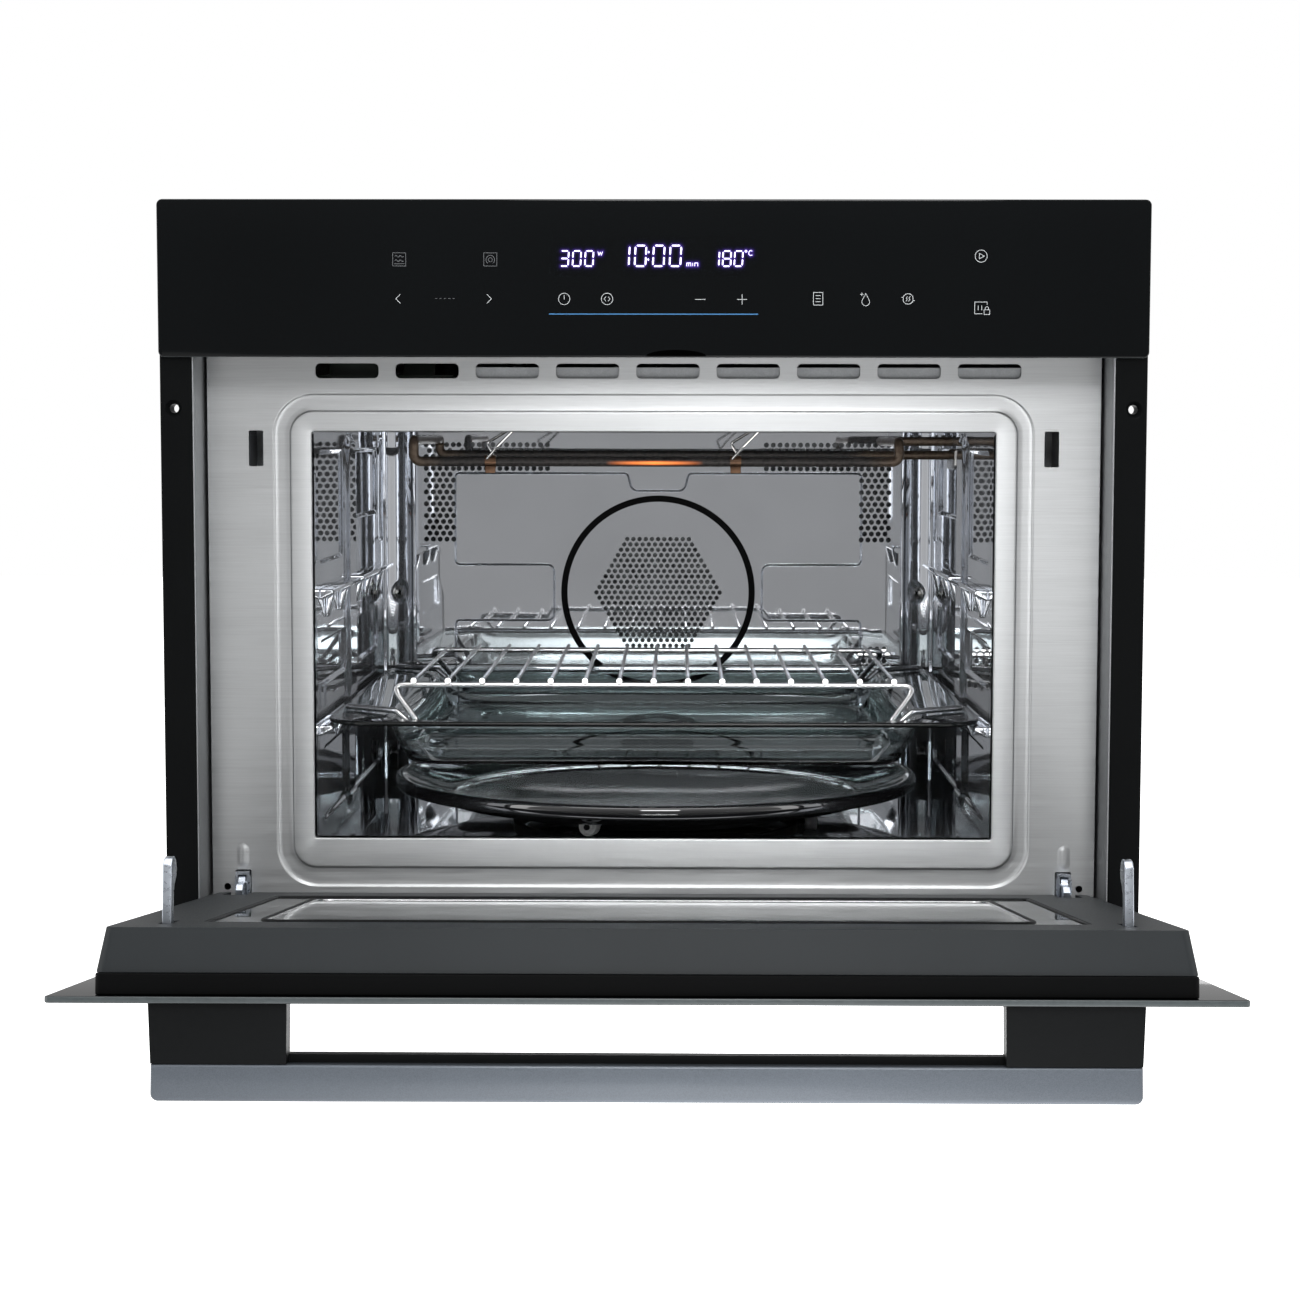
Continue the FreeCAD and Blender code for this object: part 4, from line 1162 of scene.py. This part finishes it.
def make_tray():
    outside = [(20, 18, BASIN_LOW), (15.5, 20, BASIN_LOW + 0.2), (12.6, 22, BASIN_LOW + 1.4)]
    outside += [(11.2, 23, BASIN_LOW + 3.5), (5, 25, 120), (1.5, 26, 128.5), (-0.8, 27, 130.6), (-4, 30, 131.5)]
    rim = [(3.0, 31, 131.6), (1.0, 33, 131.9), (0.2, 34, 132.7), (0, 34, 133.6)]
    rim += [(0.5, 34, 134.6), (1.6, 33, 135.0), (4.0, 31, 134.8)]
    inside = [(-2.0, 28, 134.4), (1.6, 26, 133.6), (3.6, 25, 131.5), (9.5, 22, 118), (13.8, 20, 110.6)]
    inside += [(16.0, 19, 108.6), (19.5, 17, BASIN_FLOOR), (26, 14, BASIN_FLOOR)]
    rings = [basin_loop(*ring) for ring in outside] + [tray_loop(*ring) for ring in rim]
    rings += [basin_loop(*ring) for ring in inside]
    add("glass_tray_body", skin(rings), CLEAR_GLASS, "tray", ("glass_tray",), angle=80)
    # A near-black ring round the rim: painted shade for the dark line the glass edge shows, not a part of the
    # tray.
    edge = [tray_loop(0.6 + 0.9 * across, 34, 133.4 + 1.3 * rise) for across, rise in circle(0, 0, 1, 10)]
    add("glass_tray_rim_painted_shade", skin(edge, closed=True), TRAY_RIM_PAINTED_SHADE, "tray", angle=80)


def make_rack():
    top, rest, low = 154.5, TRAY_TOP + 2.15, 130.5
    spots = []
    for edge, leg, foot, shoulder, tip in ((52.5, 50, 56, 58, 84), (324.5, 342, 348, 353, 379)):
        side = [(200, tip, rest), (166, shoulder, rest)]
        side += [(158, foot, low), (151.5, leg, low), (169, edge, top)]
        spots.append([(-x, y, z) for x, y, z in side] + list(reversed(side)))
    wires = [tube(bend(path, 5.0, 8), 2.0, 16) for path in spots]
    for i in range(15):
        x = (i - 7) * 21.97
        wires.append(tube([(x, 48.5, top + 2.9), (x, 328.5, top + 2.9)], 1.4, 12))
    add("wire_rack_wires", join(*wires), CHROME, "rack", ("wire_rack",), angle=60)
    # Domed ends of the cross wires, in white: painted highlight of their cut ends.
    end = [(0.02, -0.3), (1.1, -0.1), (1.7, 0.5), (1.85, 1.2), (1.5, 1.9), (0.02, 2.2)]
    ends = [lathe(end, ((i - 7) * 21.97, 46.6, top + 2.9), (0, 1, 0), 16) for i in range(15)]
    add("wire_rack_ends_painted_highlight", join(*ends), WIRE_END_PAINTED_HIGHLIGHT, "rack")


def make_turntable():
    middle = (0, 212, 0)
    under = [(0.02, 60.9), (146, 60.9), (151, 61.8), (156, 63.8), (168, 68.6), (172, 69.3), (179, 69.4)]
    rim = [(181.4, 70.3), (182.5, 72.2), (182.5, 76.2), (181.6, 78.2), (179.6, 79.0), (176.5, 78.7)]
    upper = [(173, 76.6), (169, 74.2), (158, 70), (150, 67), (145, 65.1), (141, 64.6), (0.02, 64.6)]
    disc = lathe(under + rim + upper, middle, (0, 0, 1), 160)
    add("turntable_disc", disc, ENAMEL, "turntable", ("turntable_plate",), angle=50)
    for number in (1, 2, 3):
        joint = next(j for j in frame["joints"] if j["name"] == "roller_%d_spin" % number)
        centre = [c / MM for c in joint["pos_m"]]
        half = [(2.1, -4.3), (3.2, -4.3), (3.4, -3.2), (4.9, -3.2), (5.1, -4.0), (5.9, -4.0), (6.3, -3.5)]
        wheel = half + [(radius, -height) for radius, height in reversed(half)]
        roller = "roller_%d" % number
        add("roller_wheel_%d" % number, ring_lathe(wheel, centre, joint["axis"]), WHITE_POLYMER, roller,
            (roller,), angle=40)


# ================================================================ studio
def make_floor():
    low = min(cad_box[0].z, 0) / MM - 90
    points = [(-4000, -3000, low), (4000, -3000, low), (4000, 6000, low), (-4000, 6000, low)]
    mesh = bpy.data.meshes.new("floor")
    mesh.from_pydata([tuple(c * MM for c in p) for p in points], [], [(0, 1, 2, 3)])
    floor = bpy.data.objects.new("floor", mesh)
    bpy.context.scene.collection.objects.link(floor)
    finish = Finish("floor", Roughness=0.9, Base_Color=(0.8, 0.8, 0.8, 1))
    finish.shader.inputs["Emission Color"].default_value = (1, 1, 1, 1)
    seen = finish.spread(finish.node("ShaderNodeLightPath").outputs["Is Camera Ray"], 0.3, 0.95, 0, 1)
    far = finish.maths("MULTIPLY", seen, finish.spread(finish.axis("Y"), 0.0, 1.0, -1.0, -0.5))
    sideways = finish.maths("ABSOLUTE", finish.maths("SUBTRACT", finish.axis("X"), 0.1))
    strip = finish.spread(sideways, 3.0, 0.12, 0.05, 0.4)
    finish.link(finish.maths("MAXIMUM", far, strip), finish.shader.inputs["Emission Strength"])
    mesh.materials.append(finish.material)


def make_world():
    """Studio surround: pale to the camera, grey with bright sides and top for lighting."""
    world = bpy.data.worlds.new("studio")
    bpy.context.scene.world = world
    world.use_nodes = True
    tree = world.node_tree
    tree.nodes.clear()

    def node(kind, **settings):
        made = tree.nodes.new(kind)
        for key, value in settings.items():
            setattr(made, key, value)
        return made

    def ramp(source, start, end, low, high):
        made = node("ShaderNodeMapRange", interpolation_type="SMOOTHSTEP")
        for key, value in (("From Min", start), ("From Max", end), ("To Min", low), ("To Max", high)):
            made.inputs[key].default_value = value
        tree.links.new(source, made.inputs["Value"])
        return made.outputs["Result"]

    def maths(operation, first, second):
        made = node("ShaderNodeMath", operation=operation)
        for value, socket in ((first, made.inputs[0]), (second, made.inputs[1])):
            if isinstance(value, float):
                socket.default_value = value
            else:
                tree.links.new(value, socket)
        return made.outputs["Value"]

    apart = node("ShaderNodeSeparateXYZ")
    tree.links.new(node("ShaderNodeTexCoord").outputs["Generated"], apart.inputs["Vector"])
    up = ramp(apart.outputs["Z"], 0.12, 0.75, 0.0, 0.75)
    sides = ramp(maths("ABSOLUTE", apart.outputs["X"], 0.0), 0.3, 0.85, 0.0, 0.45)
    behind = ramp(apart.outputs["Y"], -0.1, 0.5, 0.0, 0.1)
    light = maths("ADD", maths("ADD", up, sides), maths("ADD", behind, 0.46))
    studio = node("ShaderNodeBackground")
    tree.links.new(light, studio.inputs["Strength"])
    seen = node("ShaderNodeBackground")
    seen.inputs["Color"].default_value = (1, 1, 1, 1)
    seen.inputs["Strength"].default_value = 1.0
    mix = node("ShaderNodeMixShader")
    tree.links.new(node("ShaderNodeLightPath").outputs["Is Camera Ray"], mix.inputs["Fac"])
    tree.links.new(studio.outputs["Background"], mix.inputs[1])
    tree.links.new(seen.outputs["Background"], mix.inputs[2])
    tree.links.new(mix.outputs["Shader"], node("ShaderNodeOutputWorld").inputs["Surface"])


def area_light(name, place, target, width, height, power):
    light = bpy.data.lights.new(name, "AREA")
    light.shape = "RECTANGLE"
    light.size, light.size_y, light.energy = width, height, power
    lamp = bpy.data.objects.new(name, light)
    bpy.context.scene.collection.objects.link(lamp)
    lamp.location = place
    lamp.rotation_euler = (Vector(target) - Vector(place)).to_track_quat("-Z", "Y").to_euler()


def make_lights():
    area_light("top_box", (0, -0.5, 1.9), (0, 0, 0.2), 2.2, 1.0, 20)
    area_light("front_box", (0.12, -2.5, 1.6), (0, 0, 0.1), 0.8, 0.9, 30)
    area_light("left_box", (-2.2, -0.9, 0.7), (0, 0, 0.2), 0.9, 1.6, 14)
    area_light("right_box", (2.2, -0.9, 0.7), (0, 0, 0.2), 0.9, 1.6, 12)
    area_light("inner_fill", (0, 0.02, 0.19), (0, 0.4, 0.16), 0.36, 0.22, 1.0)
    fill = bpy.data.objects["inner_fill"]
    fill.visible_glossy = False
    fill.visible_camera = False
    fill.visible_transmission = False


def make_camera():
    """Camera a little above the middle of the oven, tilted down and turned slightly left."""
    pitch, yaw, roll = 0.0826, -0.0103, 0.0015
    data = bpy.data.cameras.new("camera")
    data.lens, data.sensor_width = 72.76, 36.0
    data.clip_start, data.clip_end = 0.05, 60.0
    camera = bpy.data.objects.new("camera", data)
    bpy.context.scene.collection.objects.link(camera)
    ahead = Vector((math.sin(yaw) * math.cos(pitch), math.cos(yaw) * math.cos(pitch), -math.sin(pitch)))
    right = ahead.cross(Vector((0, 0, 1))).normalized()
    up = right.cross(ahead)
    turned_right = right * math.cos(roll) + up * math.sin(roll)
    turned_up = up * math.cos(roll) - right * math.sin(roll)
    place = Matrix((turned_right, turned_up, -ahead)).transposed().to_4x4()
    place.translation = Vector((0.0149, -1.6259, 0.3161))
    camera.matrix_world = place
    bpy.context.scene.camera = camera


# ================================================================ CAD nodes that stay, with their finishes
def finish_cad_nodes():
    covers = ("side_panel_left", "side_panel_right", "top_cover", "rear_cover")
    paint(GALVANISED, "base_plate", *covers, "fan_chamber", "convection_motor", "turntable_motor", "magnetron",
          "power_supply", "blower_housing", "air_duct", "convection_fan")
    paint(BLACK_PAINT_AND_RECESS_SHADE, "side_trim_left", "side_trim_right", "fan_seal_ring", "door_screen")
    paint(BLACK_PLASTIC, "panel_carrier", "terminal_block", "handle_mount", "drive_coupler", "roller_ring")
    paint(BASE_PLASTIC, "door_base_frame")
    paint(BOARD, "display_module", "control_board")
    paint(CAVITY_STEEL, "cavity_ceiling", "cavity_floor", "fan_cover")
    paint(HEATER, "ring_heater", "grill_heater")
    paint(GREY_POLYMER, "blower_motor", "latch_housing_left", "latch_housing_right", "blower_wheel")
    paint(LAMP, "oven_lamp")
    paint(ZINC, "hinge_bracket_left", "hinge_bracket_right", "hinge_knuckle_left", "hinge_knuckle_right",
          "hinge_clip_left", "hinge_clip_right")
    paint(CHARCOAL, "door_inner_frame")
    paint(DOOR_GLASS, "door_inner_glass")
    soften("door_inner_frame", 2.0, 4)
    soften("door_base_frame", 0.8)
    soften("handle_mount", 0.7)
    for cover in covers:
        soften(cover, 0.35, 2)
    for side in ("left", "right"):
        soften("side_trim_" + side, 0.5)
        soften("hinge_clip_" + side, 0.3)
        soften("hinge_knuckle_" + side, 0.3)


make_front_plate()
make_back_wall()
make_side_wall("cavity_side_left", -1)
make_side_wall("cavity_side_right", 1)
make_corner_beads()
make_cavity_screws()
make_hangers()
make_housing_details()
make_panel()
make_display()
make_prints()
make_door()
make_tray()
make_rack()
make_turntable()
finish_cad_nodes()
make_floor()
make_world()
make_lights()
make_camera()
bpy.context.scene.view_settings.view_transform = "Standard"
